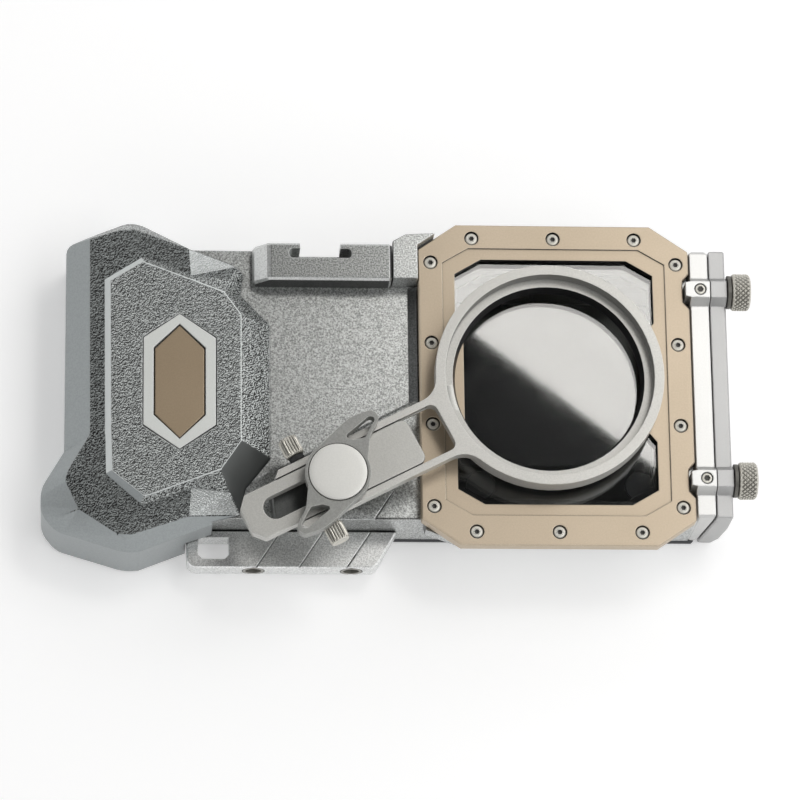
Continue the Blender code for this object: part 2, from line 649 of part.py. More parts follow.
def build_body(metal):
    """The machined body: slab, window collar, end flange, shoulder and the grip's tongue."""
    slab = rectangle(BODY_LEFT, FLANGE_LEFT + FLANGE_BEVEL + GAP, BODY_LOW_Y, BODY_HIGH_Y)
    body = prism("body_shell", slab, BODY_BASE_Z, BODY_BACK_Z, metal)
    bevel(body, BODY_EDGE_BEVEL)

    half_x = FRAME_HALF_X - COLLAR_INSET
    half_y = FRAME_HALF_Y - COLLAR_INSET
    collar_edge = octagon(half_x, half_y, FRAME_CHAMFER_X, FRAME_CHAMFER_Y - COLLAR_INSET)
    collar_edge[4] = (-half_x + FRAME_CHAMFER_X, half_y)
    collar_edge[6] = (-half_x, COLLAR_CHAMFER - half_y)
    foot_half_y = BODY_HALF_Y - BODY_EDGE_BEVEL
    collar_foot = [(x, max(min(y, BODY_CENTRE_Y + foot_half_y), BODY_CENTRE_Y - foot_half_y))
                   for x, y in collar_edge]
    skirt_z = COLLAR_Z - COLLAR_THICK
    collar = stack("collar", [level(collar_foot, skirt_z - COLLAR_TAPER), level(collar_edge, skirt_z),
                              level(collar_edge, COLLAR_Z)], metal)
    side = [(FLANGE_LEFT, BODY_BASE_Z), (split_at(BODY_BASE_Z), BODY_BASE_Z), (SPLIT_X, SPLIT_KNEE_Z),
            (SPLIT_X, FLANGE_BACK_Z), (FLANGE_LEFT, FLANGE_BACK_Z)]
    flange = prism("flange", side, BODY_LOW_Y, BODY_HIGH_Y, metal, axis="Y")
    bevel(flange, FLANGE_BEVEL)
    bosses = []
    nose = FLANGE_LEFT - BOSS_NOSE
    for i, y in enumerate((BOSS_OFFSET_Y, -BOSS_OFFSET_Y)):
        bosses.append(prism(f"flange_boss_{i}", boss_section(y, FLANGE_BACK_Z - OVER), FLANGE_LEFT,
                            SPLIT_X, metal, axis="X"))
        outline = [(nose, y - BOSS_NOSE_HALF), (FLANGE_LEFT + GAP, y - BOSS_HALF_WIDTH),
                   (FLANGE_LEFT + GAP, y + BOSS_HALF_WIDTH), (nose, y + BOSS_NOSE_HALF)]
        bosses.append(prism(f"boss_nose_{i}", outline, BODY_BACK_Z - OVER, BOSS_TOP_Z, metal))
    shoulder = prism("shoulder", shoulder_outline(), BODY_BACK_Z - OVER, RAIL_TOP_Z, metal)
    bevel(shoulder, RAIL_BEVEL)
    cove_x = -FRAME_HALF_X - GAP
    cove = prism("cove", [(cove_x - COVE_WIDTH, BODY_BACK_Z), (cove_x, BODY_BACK_Z + COVE_RISE),
                          (cove_x, BODY_BACK_Z - OVER), (cove_x - COVE_WIDTH, BODY_BACK_Z - OVER)],
                 COVE_LOW_Y, COVE_HIGH_Y, metal, axis="Y")
    tongue = prism("grip_tongue", rectangle(BODY_LEFT - TONGUE_LENGTH, BODY_LEFT + OVER,
                                            -TONGUE_HALF_Y, TONGUE_HALF_Y),
                   TONGUE_LOW_Z, TONGUE_LOW_Z + TONGUE_THICK, metal)
    join(body, collar, flange, *bosses, shoulder, cove, tongue)
    cut(body, *body_hollows(metal), *body_holes(metal))
    return body


def shoulder_outline():
    """The raised shoulder between the shoe rail and the frame's cut corner."""
    left = -FRAME_HALF_X - GAP - SHOULDER_WIDTH
    right = -FRAME_HALF_X - GAP
    corner_y = FRAME_HALF_Y - FRAME_CHAMFER_Y
    slope = FRAME_CHAMFER_Y / FRAME_CHAMFER_X
    reach_x = right + SHOULDER_REACH
    reach_y = corner_y + SHOULDER_REACH * slope + GAP
    return [(left, SHOULDER_LOW_Y), (right, SHOULDER_LOW_Y), (right, corner_y + GAP), (reach_x, reach_y),
            (reach_x, max(SHOULDER_HIGH_Y, reach_y + GAP)), (left + SHOULDER_CHAMFER_X, SHOULDER_HIGH_Y),
            (left, SHOULDER_HIGH_Y - SHOULDER_CHAMFER_Y)]


def touch_rectangle(grow, steps=4):
    """The touch window's outline, grown on every side."""
    return rectangle(TOUCH_LEFT - grow, TOUCH_RIGHT + grow, BODY_CENTRE_Y - TOUCH_HALF_Y - grow,
                     BODY_CENTRE_Y + TOUCH_HALF_Y + grow, TOUCH_CORNER + grow, steps)


def glass_outline(grow=0.0):
    """The rear glass's outline, a lap wider than the window."""
    wide = GLASS_LAP + grow
    return octagon(WINDOW_HALF_X + wide, WINDOW_HALF_Y + wide, WINDOW_CHAMFER_X, WINDOW_CHAMFER_Y,
                   BODY_CENTRE_Y)


def body_hollows(metal):
    """Cutters for the phone bay, the touch window, the lens opening and the glass's seat."""
    bay = prism("bay_cut", rectangle(BODY_CENTRE_Y - BAY_HALF_Y, BODY_CENTRE_Y + BAY_HALF_Y,
                                     BAY_LOW_Z, BAY_HIGH_Z, PLUG_CORNER),
                BAY_LEFT, SPLIT_X + OVER, metal, axis="X")
    seat = prism("membrane_seat_cut", touch_rectangle(SEAL_LAP + GAP), BODY_BASE_Z - OVER,
                 FRONT_SEAT_Z, metal)
    touch = prism("touch_cut", touch_rectangle(0.0), BODY_BASE_Z - OVER, BAY_LOW_Z + OVER, metal)
    lens_x = WINDOW_HALF_X - LENS_HOLE_INSET
    lens_y = BAY_HALF_Y - LENS_HOLE_INSET
    lens = prism("lens_cut", octagon(lens_x, lens_y, WINDOW_CHAMFER_X, WINDOW_CHAMFER_Y, BODY_CENTRE_Y),
                 BAY_HIGH_Z - OVER, COLLAR_Z + OVER, metal)
    glass_seat = prism("glass_seat_cut", glass_outline(GAP), REAR_GASKET_Z - GAP, COLLAR_Z + OVER, metal)
    return bay, seat, touch, lens, glass_seat


def body_holes(metal):
    """Cutters for the screw holes, the stud's hole, the slanted groove and the shoe's relief."""
    tools = []
    frame_hole = SCREW_SHANK_RADIUS + HOLE_CLEARANCE
    frame_depth = SCREW_HEAD_Z - SCREW_LENGTH - GAP
    for i, place in enumerate(frame_screw_places()):
        tools.append(prism(f"frame_hole_{i}", circle(frame_hole, 12, place), frame_depth,
                           COLLAR_Z + OVER, metal))
    bezel_depth = GAP + BEZEL_HEAD_HEIGHT + BEZEL_SCREW_LENGTH + GAP
    for i, place in enumerate(bezel_screw_places()):
        tools.append(prism(f"bezel_hole_{i}", circle(frame_hole, 12, place), BODY_BASE_Z - OVER,
                           bezel_depth, metal))
    for i, y in enumerate((BOSS_OFFSET_Y, -BOSS_OFFSET_Y)):
        place = (y, THUMB_AXIS_Z)
        tools.append(prism(f"thumb_hole_{i}", circle(THUMB_SHANK_RADIUS + HOLE_CLEARANCE, 16, place),
                           SPLIT_X - THUMB_ENGAGEMENT - GAP, SPLIT_X + OVER, metal, axis="X"))
        set_place = (FLANGE_LEFT + FLANGE_THICK / 2, y)
        tools.append(prism(f"set_hole_{i}", circle(SET_SCREW_RADIUS + GAP, 16, set_place),
                           BOSS_TOP_Z - SET_SCREW_LENGTH - GAP, BOSS_TOP_Z + OVER, metal))
    for i, y in enumerate((GRIP_SCREW_OFFSET_Y, -GRIP_SCREW_OFFSET_Y)):
        place = (BODY_LEFT - TONGUE_LENGTH / 2, y)
        grip_hole = circle(GRIP_SCREW_SHANK_RADIUS + HOLE_CLEARANCE, 12, place)
        tools.append(prism(f"tongue_hole_{i}", grip_hole, TONGUE_LOW_Z - OVER,
                           TONGUE_LOW_Z + TONGUE_THICK + OVER, metal))
    tools.append(prism("stud_hole", circle(STUD_RADIUS + GAP, 16, (STUD_X, STUD_Y)),
                       BODY_BACK_Z - BACK_WALL / 2 - GAP, BODY_BACK_Z + OVER, metal))
    tools.append(groove_tool("body_groove", GROOVE_FOOT[-1], BODY_BACK_Z, metal))
    half_width = SHOE_WIDTH / 2
    relief = rectangle(SHOE_CENTRE_X - half_width, SHOE_CENTRE_X + half_width,
                       BODY_HIGH_Y - SHOE_RELIEF_DEPTH, BODY_HIGH_Y + OVER)
    tools.append(prism("shoe_relief", relief, BODY_BACK_Z - SHOE_RELIEF_DROP, BODY_BACK_Z + OVER, metal))
    return tools


def groove_tool(name, foot, top_z, metal):
    """A narrow slanted cutter that leaves a shallow groove in a face at top_z."""
    half = GROOVE_WIDTH / 2
    foot_x = PLATE_LEFT + foot
    low_y = PLATE_LOW_Y - OVER
    high_y = STUD_Y
    if top_z < BODY_BACK_Z:
        high_y = PLATE_HIGH_Y + OVER
    run_low = (low_y - PLATE_LOW_Y) * GROOVE_RUN
    run_high = (high_y - PLATE_LOW_Y) * GROOVE_RUN
    outline = [(foot_x + run_low - half, low_y), (foot_x + run_low + half, low_y),
               (foot_x + run_high + half, high_y), (foot_x + run_high - half, high_y)]
    return prism(name, outline, top_z - GROOVE_DEPTH, top_z + OVER, metal)


def build_rear_window(bronze, glass, rubber):
    """The bronze frame over the rear glass and its gasket."""
    frame = prism("rear_window_frame", frame_outline(), FRAME_LOW_Z, FRAME_TOP_Z, bronze)
    bevel(frame, FRAME_EDGE_BEVEL)
    land = prism("land_cut", octagon(WINDOW_HALF_X + LAND_WIDTH, WINDOW_HALF_Y + LAND_WIDTH - GAP,
                                     WINDOW_CHAMFER_X, WINDOW_CHAMFER_Y, BODY_CENTRE_Y),
                 FRAME_TOP_Z - LAND_DROP, FRAME_TOP_Z + OVER, bronze)
    opening = prism("window_cut", window_outline(), FRAME_LOW_Z - OVER, FRAME_TOP_Z + OVER, bronze)
    rebate = prism("rebate_cut", glass_outline(GAP), FRAME_LOW_Z - OVER, GLASS_TOP_Z + GAP, bronze)
    cut(frame, land, opening, rebate)
    for i, place in enumerate(frame_screw_places()):
        head = prism(f"head_cut_{i}", circle(SCREW_HEAD_RADIUS + GAP, 16, place),
                     SCREW_HEAD_Z - GAP, FRAME_TOP_Z + OVER, bronze)
        shank = prism(f"shank_cut_{i}", circle(SCREW_SHANK_RADIUS + HOLE_CLEARANCE, 12, place),
                      FRAME_LOW_Z - OVER, FRAME_TOP_Z, bronze)
        cut(frame, head, shank)
    pane = prism("rear_window_glass", glass_outline(), GLASS_LOW_Z, GLASS_TOP_Z, glass)
    bevel(pane, FRAME_EDGE_BEVEL)
    band("rear_window_gasket", glass_outline(), glass_outline(-REAR_GASKET_WIDTH), REAR_GASKET_Z,
         REAR_GASKET_Z + REAR_GASKET_THICK, rubber)


def build_frame_screws(steel):
    """Fourteen socket screws, one mesh shared by all."""
    profile = screw_profile(SCREW_HEAD_RADIUS, SCREW_HEAD_HEIGHT, SCREW_SHANK_RADIUS, SCREW_LENGTH,
                            SCREW_SOCKET_RADIUS, SCREW_SOCKET_DEPTH)
    first = turned("frame_screw_01", profile, steel, segments=12)
    for i, (x, y) in enumerate(frame_screw_places()):
        screw = first
        if i:
            screw = bpy.data.objects.new(f"frame_screw_{i + 1:02d}", first.data)
            bpy.context.collection.objects.link(screw)
        screw.location = (x, y, SCREW_HEAD_Z)


def build_front(metal, membrane_finish, rubber, steel):
    """The front bezel, the touch membrane, its gasket and the bezel's screws."""
    edge = rectangle(BODY_LEFT, BEZEL_RIGHT, BODY_LOW_Y - BEZEL_OVERHANG, BODY_HIGH_Y + BEZEL_OVERHANG)
    bezel = prism("front_bezel", edge, 0.0, BEZEL_THICK, metal)
    bevel(bezel, BEZEL_EDGE)
    slope = stack("bezel_cut", [level(touch_rectangle(BEZEL_SLOPE), -GAP),
                                level(touch_rectangle(0.0), BEZEL_THICK / 2),
                                level(touch_rectangle(0.0), BEZEL_THICK + OVER)], metal)
    cut(bezel, slope)
    profile = screw_profile(SCREW_HEAD_RADIUS, BEZEL_HEAD_HEIGHT, SCREW_SHANK_RADIUS,
                            BEZEL_SCREW_LENGTH, SCREW_SOCKET_RADIUS, BEZEL_SOCKET_DEPTH)
    first = turned("bezel_screw_1", profile, steel, segments=12)
    for i, place in enumerate(bezel_screw_places()):
        head = prism(f"bezel_head_cut_{i}", circle(SCREW_HEAD_RADIUS + GAP, 16, place), -OVER,
                     BEZEL_HEAD_HEIGHT + GAP + GAP, metal)
        shank = prism(f"bezel_shank_cut_{i}", circle(SCREW_SHANK_RADIUS + HOLE_CLEARANCE, 12, place),
                      0.0, BEZEL_THICK + OVER, metal)
        cut(bezel, head, shank)
        screw = first
        if i:
            screw = bpy.data.objects.new(f"bezel_screw_{i + 1}", first.data)
            bpy.context.collection.objects.link(screw)
        screw.location = (*place, BEZEL_HEAD_HEIGHT + GAP)
        screw.rotation_euler = (math.pi, 0.0, 0.0)
    prism("touch_membrane", touch_rectangle(SEAL_LAP), BODY_BASE_Z, MEMBRANE_TOP_Z, membrane_finish)
    band("touch_membrane_gasket", touch_rectangle(SEAL_LAP), touch_rectangle(GAP), FRONT_GASKET_Z,
         FRONT_GASKET_Z + FRONT_GASKET_THICK, rubber)


def cap_section():
    """The end cap's plate seen along Y: its outer face curves in towards the front."""
    return [(split_at(CAP_LOW_Z) + GAP, CAP_LOW_Z), (CAP_RIGHT - CAP_FOOT, CAP_LOW_Z),
            (CAP_RIGHT - CAP_KNEE, CAP_LOW_Z + CAP_FOOT_RISE), (CAP_RIGHT, CAP_LOW_Z + CAP_KNEE_RISE),
            (CAP_RIGHT, FLANGE_BACK_Z), (CAP_LEFT, FLANGE_BACK_Z), (CAP_LEFT, SPLIT_KNEE_Z)]


def plug_outline(shrink):
    """The end cap's plug in the mouth of the phone bay, in Y and Z."""
    return rectangle(BODY_CENTRE_Y - BAY_HALF_Y + shrink, BODY_CENTRE_Y + BAY_HALF_Y - shrink,
                     BAY_LOW_Z + shrink, BAY_HIGH_Z - shrink,
                     max(PLUG_CORNER - shrink, PLUG_INNER_CORNER))


def build_end_cap(satin, rubber):
    """The end cap with its plug, and the seal in the plug's groove."""
    plate = prism("end_cap", cap_section(), BODY_LOW_Y, BODY_HIGH_Y, satin, axis="Y")
    ends = [prism(f"cap_boss_{i}", boss_section(y, FLANGE_BACK_Z - OVER), CAP_LEFT, CAP_RIGHT, satin,
                  axis="X")
            for i, y in enumerate((BOSS_OFFSET_Y, -BOSS_OFFSET_Y))]
    groove_right = SPLIT_X - SEAL_SETBACK + SEAL_WIDTH / 2
    groove_left = groove_right - SEAL_WIDTH
    face, floor = plug_outline(GAP), plug_outline(SEAL_DEPTH + GAP)
    plug = stack("plug", [level(face, SPLIT_X - PLUG_LENGTH), level(face, groove_left - GAP),
                          level(floor, groove_left - GAP), level(floor, groove_right + GAP),
                          level(face, groove_right + GAP), level(face, CAP_LEFT + OVER / 2)],
                 satin, axis="X")
    bevel(plate, BODY_EDGE_BEVEL / 2)
    join(plate, *ends, plug)
    inside = prism("plug_cut", plug_outline(PLUG_WALL), SPLIT_X - PLUG_LENGTH - OVER,
                   CAP_LEFT + CAP_THICK / 4, satin, axis="X")
    cut(plate, inside)
    for i, y in enumerate((BOSS_OFFSET_Y, -BOSS_OFFSET_Y)):
        hole = circle(THUMB_SHANK_RADIUS + HOLE_CLEARANCE, 16, (y, THUMB_AXIS_Z))
        cut(plate, prism(f"cap_hole_{i}", hole, SPLIT_X - OVER, CAP_RIGHT + OVER, satin, axis="X"))
    band("end_cap_seal", plug_outline(GAP), plug_outline(SEAL_DEPTH), groove_left, groove_right,
         rubber, axis="X")


def build_thumbscrew(name, y, steel, rubber):
    """A knurled thumbscrew along X with the washer under its head."""
    head = THUMB_HEAD_LENGTH
    reach = THUMB_HEAD_X - SPLIT_X + THUMB_ENGAGEMENT
    profile = [(0.0, -reach), (THUMB_SHANK_RADIUS, -reach), (THUMB_SHANK_RADIUS, 0.0),
               (THUMB_HEAD_RADIUS - THUMB_HEAD_BEVEL, 0.0), (THUMB_HEAD_RADIUS, THUMB_HEAD_BEVEL),
               (THUMB_HEAD_RADIUS, head - THUMB_HEAD_BEVEL), (THUMB_HEAD_RADIUS - THUMB_HEAD_BEVEL, head),
               (0.0, head)]
    screw = turned(f"thumbscrew_{name}", profile, steel, segments=24, axis="X")
    screw.location = (THUMB_HEAD_X, y, THUMB_AXIS_Z)
    inner = THUMB_SHANK_RADIUS + GAP
    ring = [(inner, 0.0), (THUMB_WASHER_RADIUS, 0.0), (THUMB_WASHER_RADIUS, THUMB_WASHER_THICK),
            (inner, THUMB_WASHER_THICK)]
    washer = turned(f"thumbscrew_washer_{name}", ring, rubber, segments=20, axis="X")
    washer.location = (THUMB_WASHER_X, y, THUMB_AXIS_Z)


def build_set_screw(name, y, steel):
    """A headless socket screw in a flange boss."""
    profile = [(0.0, -SET_SCREW_LENGTH), (SET_SCREW_RADIUS, -SET_SCREW_LENGTH), (SET_SCREW_RADIUS, 0.0),
               (SET_SCREW_SOCKET, 0.0), (SET_SCREW_SOCKET, -SET_SCREW_LENGTH / 2),
               (0.0, -SET_SCREW_LENGTH / 2)]
    screw = turned(f"set_screw_{name}", profile, steel, segments=12)
    screw.location = (FLANGE_LEFT + FLANGE_THICK / 2, y, BOSS_TOP_Z)


def build_shoe_rail(metal):
    """The accessory shoe rail on the body's back, with a T-slot open towards +Y."""
    right = -FRAME_HALF_X - GAP - SHOULDER_WIDTH - GAP
    low_z = BODY_BACK_Z + GAP
    side = [(RAIL_LEFT, low_z), (right, low_z), (right, RAIL_TOP_Z), (RAIL_LEFT + RAIL_SLOPE_X, RAIL_TOP_Z),
            (RAIL_LEFT, RAIL_TOP_Z - RAIL_SLOPE_Z)]
    rail = prism("shoe_rail", side, RAIL_LOW_Y, BODY_HIGH_Y, metal, axis="Y")
    bevel(rail, RAIL_BEVEL, 30.0)
    lip_y = BODY_HIGH_Y - SHOE_LIP
    half_mouth = SHOE_MOUTH / 2
    mouth = prism("shoe_mouth_cut", rectangle(SHOE_CENTRE_X - half_mouth, SHOE_CENTRE_X + half_mouth,
                                              lip_y - SHOE_HEIGHT, BODY_HIGH_Y + OVER),
                  low_z - OVER, RAIL_TOP_Z + OVER, metal)
    slot = prism("shoe_slot_cut", rectangle(SHOE_CENTRE_X - SHOE_WIDTH / 2, SHOE_CENTRE_X + SHOE_WIDTH / 2,
                                            lip_y - SHOE_HEIGHT, lip_y, SHOE_CORNER),
                 low_z - OVER, RAIL_TOP_Z + OVER, metal)
    cut(rail, mouth, slot)


def build_tripod_plate(metal, steel):
    """The tripod plate with its strap slot, grooves and two threaded inserts."""
    outline = rounded([(PLATE_LEFT, PLATE_HIGH_Y, 0.0), (PLATE_LEFT, PLATE_LOW_Y, PLATE_CORNER),
                       (PLATE_RIGHT - PLATE_END_SLOPE, PLATE_LOW_Y, PLATE_CORNER),
                       (PLATE_RIGHT, PLATE_HIGH_Y, 0.0)])
    plate = prism("tripod_plate", outline, PLATE_LOW_Z, PLATE_BACK_Z, metal)
    bevel(plate, BODY_EDGE_BEVEL / 2)
    strap_high = PLATE_HIGH_Y - STRAP_SETBACK
    strap = [(STRAP_LEFT, strap_high), (STRAP_LEFT + STRAP_LENGTH, strap_high),
             (STRAP_LEFT + STRAP_LENGTH, strap_high - STRAP_WIDTH + STRAP_CORNER),
             (STRAP_LEFT + STRAP_LENGTH - STRAP_CORNER, strap_high - STRAP_WIDTH),
             (STRAP_LEFT + STRAP_CORNER, strap_high - STRAP_WIDTH),
             (STRAP_LEFT, strap_high - STRAP_WIDTH + STRAP_CORNER)]
    cut(plate, prism("strap_cut", strap, PLATE_LOW_Z - OVER, PLATE_BACK_Z + OVER, metal))
    middle = (PLATE_LOW_Z + PLATE_BACK_Z) / 2
    for i in range(TRIPOD_HOLES):
        x = PLATE_LEFT + TRIPOD_HOLE_SETBACK + i * TRIPOD_HOLE_PITCH
        hole = prism(f"insert_cut_{i}", circle(TRIPOD_INSERT_RADIUS + GAP, 20, (x, middle)),
                     PLATE_LOW_Y - OVER, PLATE_LOW_Y + TRIPOD_INSERT_LENGTH + GAP, metal, axis="Y")
        cut(plate, hole)
        ring = [(TRIPOD_THREAD_RADIUS, 0.0), (TRIPOD_INSERT_RADIUS, 0.0),
                (TRIPOD_INSERT_RADIUS, TRIPOD_INSERT_LENGTH), (TRIPOD_THREAD_RADIUS, TRIPOD_INSERT_LENGTH)]
        insert = turned(f"tripod_insert_{i + 1}", ring, steel, segments=20, axis="Y")
        insert.location = (x, PLATE_LOW_Y, middle)
    for i, foot in enumerate(GROOVE_FOOT):
        cut(plate, groove_tool(f"plate_groove_{i}", foot, PLATE_BACK_Z, metal))


def grip_rings():
    """Corner lists of the grip's shoulder, face, panel foot and panel, in step with each other.

    The rows are in millimetres from the body's left end, for a body of GRIP_DRAWN_HALF_Y.
    """
    lap = GRIP_LAP_Z / mm
    brow = GRIP_BROW_Z / mm
    face = GRIP_FACE_Z / mm
    panel = GRIP_PANEL_Z / mm
    wall = GRIP_SHOULDER_Z / mm
    rows = [
        # shoulder x, y, z      face x, y, z            panel foot x, y, z      panel x, y
        ((-36.0, 47.2, wall), (-28.4, 48.0, face), (-23.6, 34.2, face), (-22.1, 33.0)),
        ((-36.0, -21.6, wall), (-27.9, -17.7, face), (-23.2, -17.7, face), (-21.4, -17.7)),
        ((-43.4, -34.1, wall), (-35.4, -30.9, face), (-22.8, -30.9, face), (-20.9, -30.4)),
        ((-43.4, -42.2, wall), (-35.3, -43.8, face), (-12.0, -40.4, face), (-10.8, -38.6)),
        ((-38.7, -48.2, wall), (-34.3, -44.2, face), (-11.4, -40.4, face), (-10.6, -38.6)),
        ((-16.6, -55.0, wall), (-16.8, -51.2, face), (-10.8, -40.4, face), (-10.3, -38.6)),
        ((-12.0, -54.6, wall), (-13.0, -50.0, face), (-7.6, -39.4, face), (-8.3, -37.9)),
        ((3.3, -48.6, wall), (3.5, -44.5, face), (4.2, -35.2, face), (3.4, -33.4)),
        ((19.6, -43.0, wall), (19.6, -43.0, lap), (16.5, -36.5, brow), (13.7, -29.5)),
        ((21.7, -34.5, wall), (21.7, -34.5, lap), (17.6, -32.0, brow), (13.7, -29.5)),
        ((29.6, -24.3, wall), (29.6, -24.3, lap), (24.8, -22.3, brow), (20.0, -20.2)),
        ((29.6, 20.6, wall), (29.6, 20.6, lap), (24.8, 21.2, brow), (20.1, 22.1)),
        ((20.2, 30.6, wall), (20.2, 30.6, lap), (17.4, 30.0, brow), (14.6, 29.7)),
        ((21.2, 38.0, wall), (21.2, 38.0, lap), (17.9, 33.8, brow), (14.6, 29.7)),
        ((18.6, 40.4, wall), (18.6, 40.4, lap), (16.6, 35.0, brow), (14.6, 29.7)),
        ((3.9, 46.9, wall), (3.4, 44.9, face), (4.0, 36.0, face), (3.4, 34.1)),
        ((-11.5, 54.7, wall), (-13.0, 51.0, face), (-10.2, 41.6, face), (-10.4, 39.3)),
        ((-15.6, 55.9, wall), (-17.0, 51.8, face), (-11.8, 41.8, face), (-11.4, 39.9)),
        ((-28.4, 50.7, wall), (-28.4, 48.6, face), (-23.4, 34.6, face), (-21.9, 33.2)),
    ]
    wider = BODY_HALF_Y - GRIP_DRAWN_HALF_Y

    def place(x, y, z):
        return BODY_LEFT + x * mm, y * mm + math.copysign(wider, y), z * mm

    shoulder = [place(*row[0]) for row in rows]
    face_ring = [place(*row[1]) for row in rows]
    foot = [place(*row[2]) for row in rows]
    top = [place(*row[3], panel) for row in rows]
    return shoulder, face_ring, foot, top


def grip_body_room():
    """Plan of the room for the body, opened out where the grip's sides would end in a feather edge."""
    reach = BEZEL_OVERHANG + GAP
    low_y, high_y = BODY_LOW_Y - reach, BODY_HIGH_Y + reach
    low_x, high_x = BODY_LEFT + GRIP_WRAP_LOW, BODY_LEFT + GRIP_WRAP_HIGH
    return [(BODY_LEFT - GAP, low_y), (low_x, low_y), (low_x, PLATE_LOW_Y - OVER),
            (SPLIT_X, PLATE_LOW_Y - OVER), (SPLIT_X, -PLATE_LOW_Y), (high_x, -PLATE_LOW_Y),
            (high_x, high_y), (BODY_LEFT - GAP, high_y)]


def build_grip(leather, steel):
    """The moulded side handle, cut to fit over the body's left end."""
    shoulder, face_ring, foot, top = grip_rings()
    base = [(x, y, GRIP_BASE_Z) for x, y, _ in shoulder]
    grip = stack("grip_shell", [base, shoulder, face_ring, foot, top], leather)
    body_room = prism("grip_body_cut", grip_body_room(), GRIP_BASE_Z - OVER, BODY_BACK_Z + GAP, leather)
    plate_room = prism("grip_plate_cut", rectangle(PLATE_LEFT - GAP, SPLIT_X, PLATE_LOW_Y - OVER,
                                                   BODY_LOW_Y + OVER),
                       GRIP_BASE_Z - OVER, PLATE_BACK_Z + GAP, leather)
    hollow_low_z = GRIP_BASE_Z + GRIP_WALL
    hollow_high_z = GRIP_SHOULDER_Z - GRIP_WALL / 2
    hollow_half_y = BODY_HALF_Y - GRIP_HOLLOW_SETBACK
    hollow = prism("grip_hollow_cut", rectangle(BODY_LEFT - GRIP_HOLLOW, BODY_LEFT + OVER,
                                                -hollow_half_y, hollow_half_y, GRIP_WALL),
                   hollow_low_z, hollow_high_z, leather)
    cut(grip, body_room, plate_room, hollow)
    badge_floor = GRIP_PANEL_Z + BADGE_PROUD - BADGE_THICK - GAP
    cut(grip, prism("badge_cut", badge_outline(GAP), badge_floor, GRIP_PANEL_Z + OVER, leather))
    for i, y in enumerate((GRIP_SCREW_OFFSET_Y, -GRIP_SCREW_OFFSET_Y)):
        place = (BODY_LEFT - TONGUE_LENGTH / 2, y)
        head_z = GRIP_BASE_Z + GRIP_SCREW_SINK
        head = prism(f"grip_head_cut_{i}", circle(GRIP_SCREW_HEAD_RADIUS + GAP, 16, place),
                     GRIP_BASE_Z - OVER, head_z, leather)
        shank = prism(f"grip_shank_cut_{i}", circle(GRIP_SCREW_SHANK_RADIUS + HOLE_CLEARANCE, 12, place),
                      GRIP_BASE_Z, hollow_low_z + OVER, leather)
        cut(grip, head, shank)
        profile = screw_profile(GRIP_SCREW_HEAD_RADIUS, GRIP_SCREW_HEAD_HEIGHT, GRIP_SCREW_SHANK_RADIUS,
                                GRIP_SCREW_LENGTH, GRIP_SCREW_SOCKET_RADIUS, GRIP_SCREW_SOCKET_DEPTH)
        screw = turned(f"grip_screw_{i + 1}", profile, steel, segments=16)
        screw.location = (*place, head_z - GAP)
        screw.rotation_euler = (math.pi, 0.0, 0.0)
    return grip


def badge_outline(grow=0.0):
    """A long six-sided plate, pointed at both ends."""
    half_x = BADGE_HALF_X + grow
    half_y = BADGE_HALF_Y + grow
    point = BADGE_POINT
    corners = [(half_x, point - half_y), (half_x, half_y - point), (0.0, half_y),
               (-half_x, half_y - point), (-half_x, point - half_y), (0.0, -half_y)]
    return [(BADGE_X + x, BADGE_Y + y) for x, y in corners]


def build_badge(silver, bronze):
    """A plain silver rim round a bronze core, set in the grip's panel."""
    top = GRIP_PANEL_Z + BADGE_PROUD
    band("badge_rim", badge_outline(), badge_outline(-BADGE_RIM), top - BADGE_THICK, top, silver)
    core = prism("badge_core", badge_outline(-BADGE_RIM - GAP), top - BADGE_THICK,
                 top - BADGE_CORE_DROP, bronze)
    bevel(core, FINE_EDGE)


def build_cradle(plastic, rubber):
    """The black tray behind the phone, with round rubber pads."""
    top = BAY_HIGH_Z - GAP
    low = top - CRADLE_THICK
    half_y = BAY_HALF_Y - GAP
    corner = PLUG_CORNER - GAP
    section = rounded([(BODY_CENTRE_Y - half_y, low, 0.0), (BODY_CENTRE_Y + half_y, low, 0.0),
                       (BODY_CENTRE_Y + half_y, top, corner), (BODY_CENTRE_Y - half_y, top, corner)])
    tray = prism("phone_cradle", section, BAY_LEFT + GAP, SPLIT_X - PLUG_LENGTH - GAP, plastic, axis="X")
    camera = prism("cradle_camera_cut", rectangle(CRADLE_CUT_LEFT, CRADLE_CUT_RIGHT,
                                                  BODY_LOW_Y + CRADLE_CUT_EDGE_LOW,
                                                  BODY_HIGH_Y - CRADLE_CUT_EDGE_HIGH, CRADLE_CORNER),
                   low - OVER, top + OVER, plastic)
    relief = prism("cradle_relief_cut", rectangle(BODY_LEFT + CRADLE_RELIEF_SETBACK,
                                                  CRADLE_CUT_LEFT - CRADLE_RELIEF_GAP,
                                                  BODY_LOW_Y + CRADLE_RELIEF_EDGE,
                                                  BODY_HIGH_Y - CRADLE_RELIEF_EDGE, CRADLE_CORNER),
                   low - OVER, top + OVER, plastic)
    cut(tray, camera, relief)
    pad_y = BODY_LOW_Y + PAD_EDGE
    pads = ((PAD_RIGHT_X, pad_y), (PAD_LEFT_X, pad_y), (CRADLE_CUT_LEFT - PAD_SIDE_MARGIN, PAD_SIDE_Y))
    for i, place in enumerate(pads):
        cut(tray, prism(f"pad_cut_{i}", circle(PAD_RADIUS + GAP, 20, place), low - OVER, top + OVER,
                        plastic))
        prism(f"cradle_pad_{i + 1}", circle(PAD_RADIUS, 20, place), low - PAD_PROUD, top - GAP, rubber)


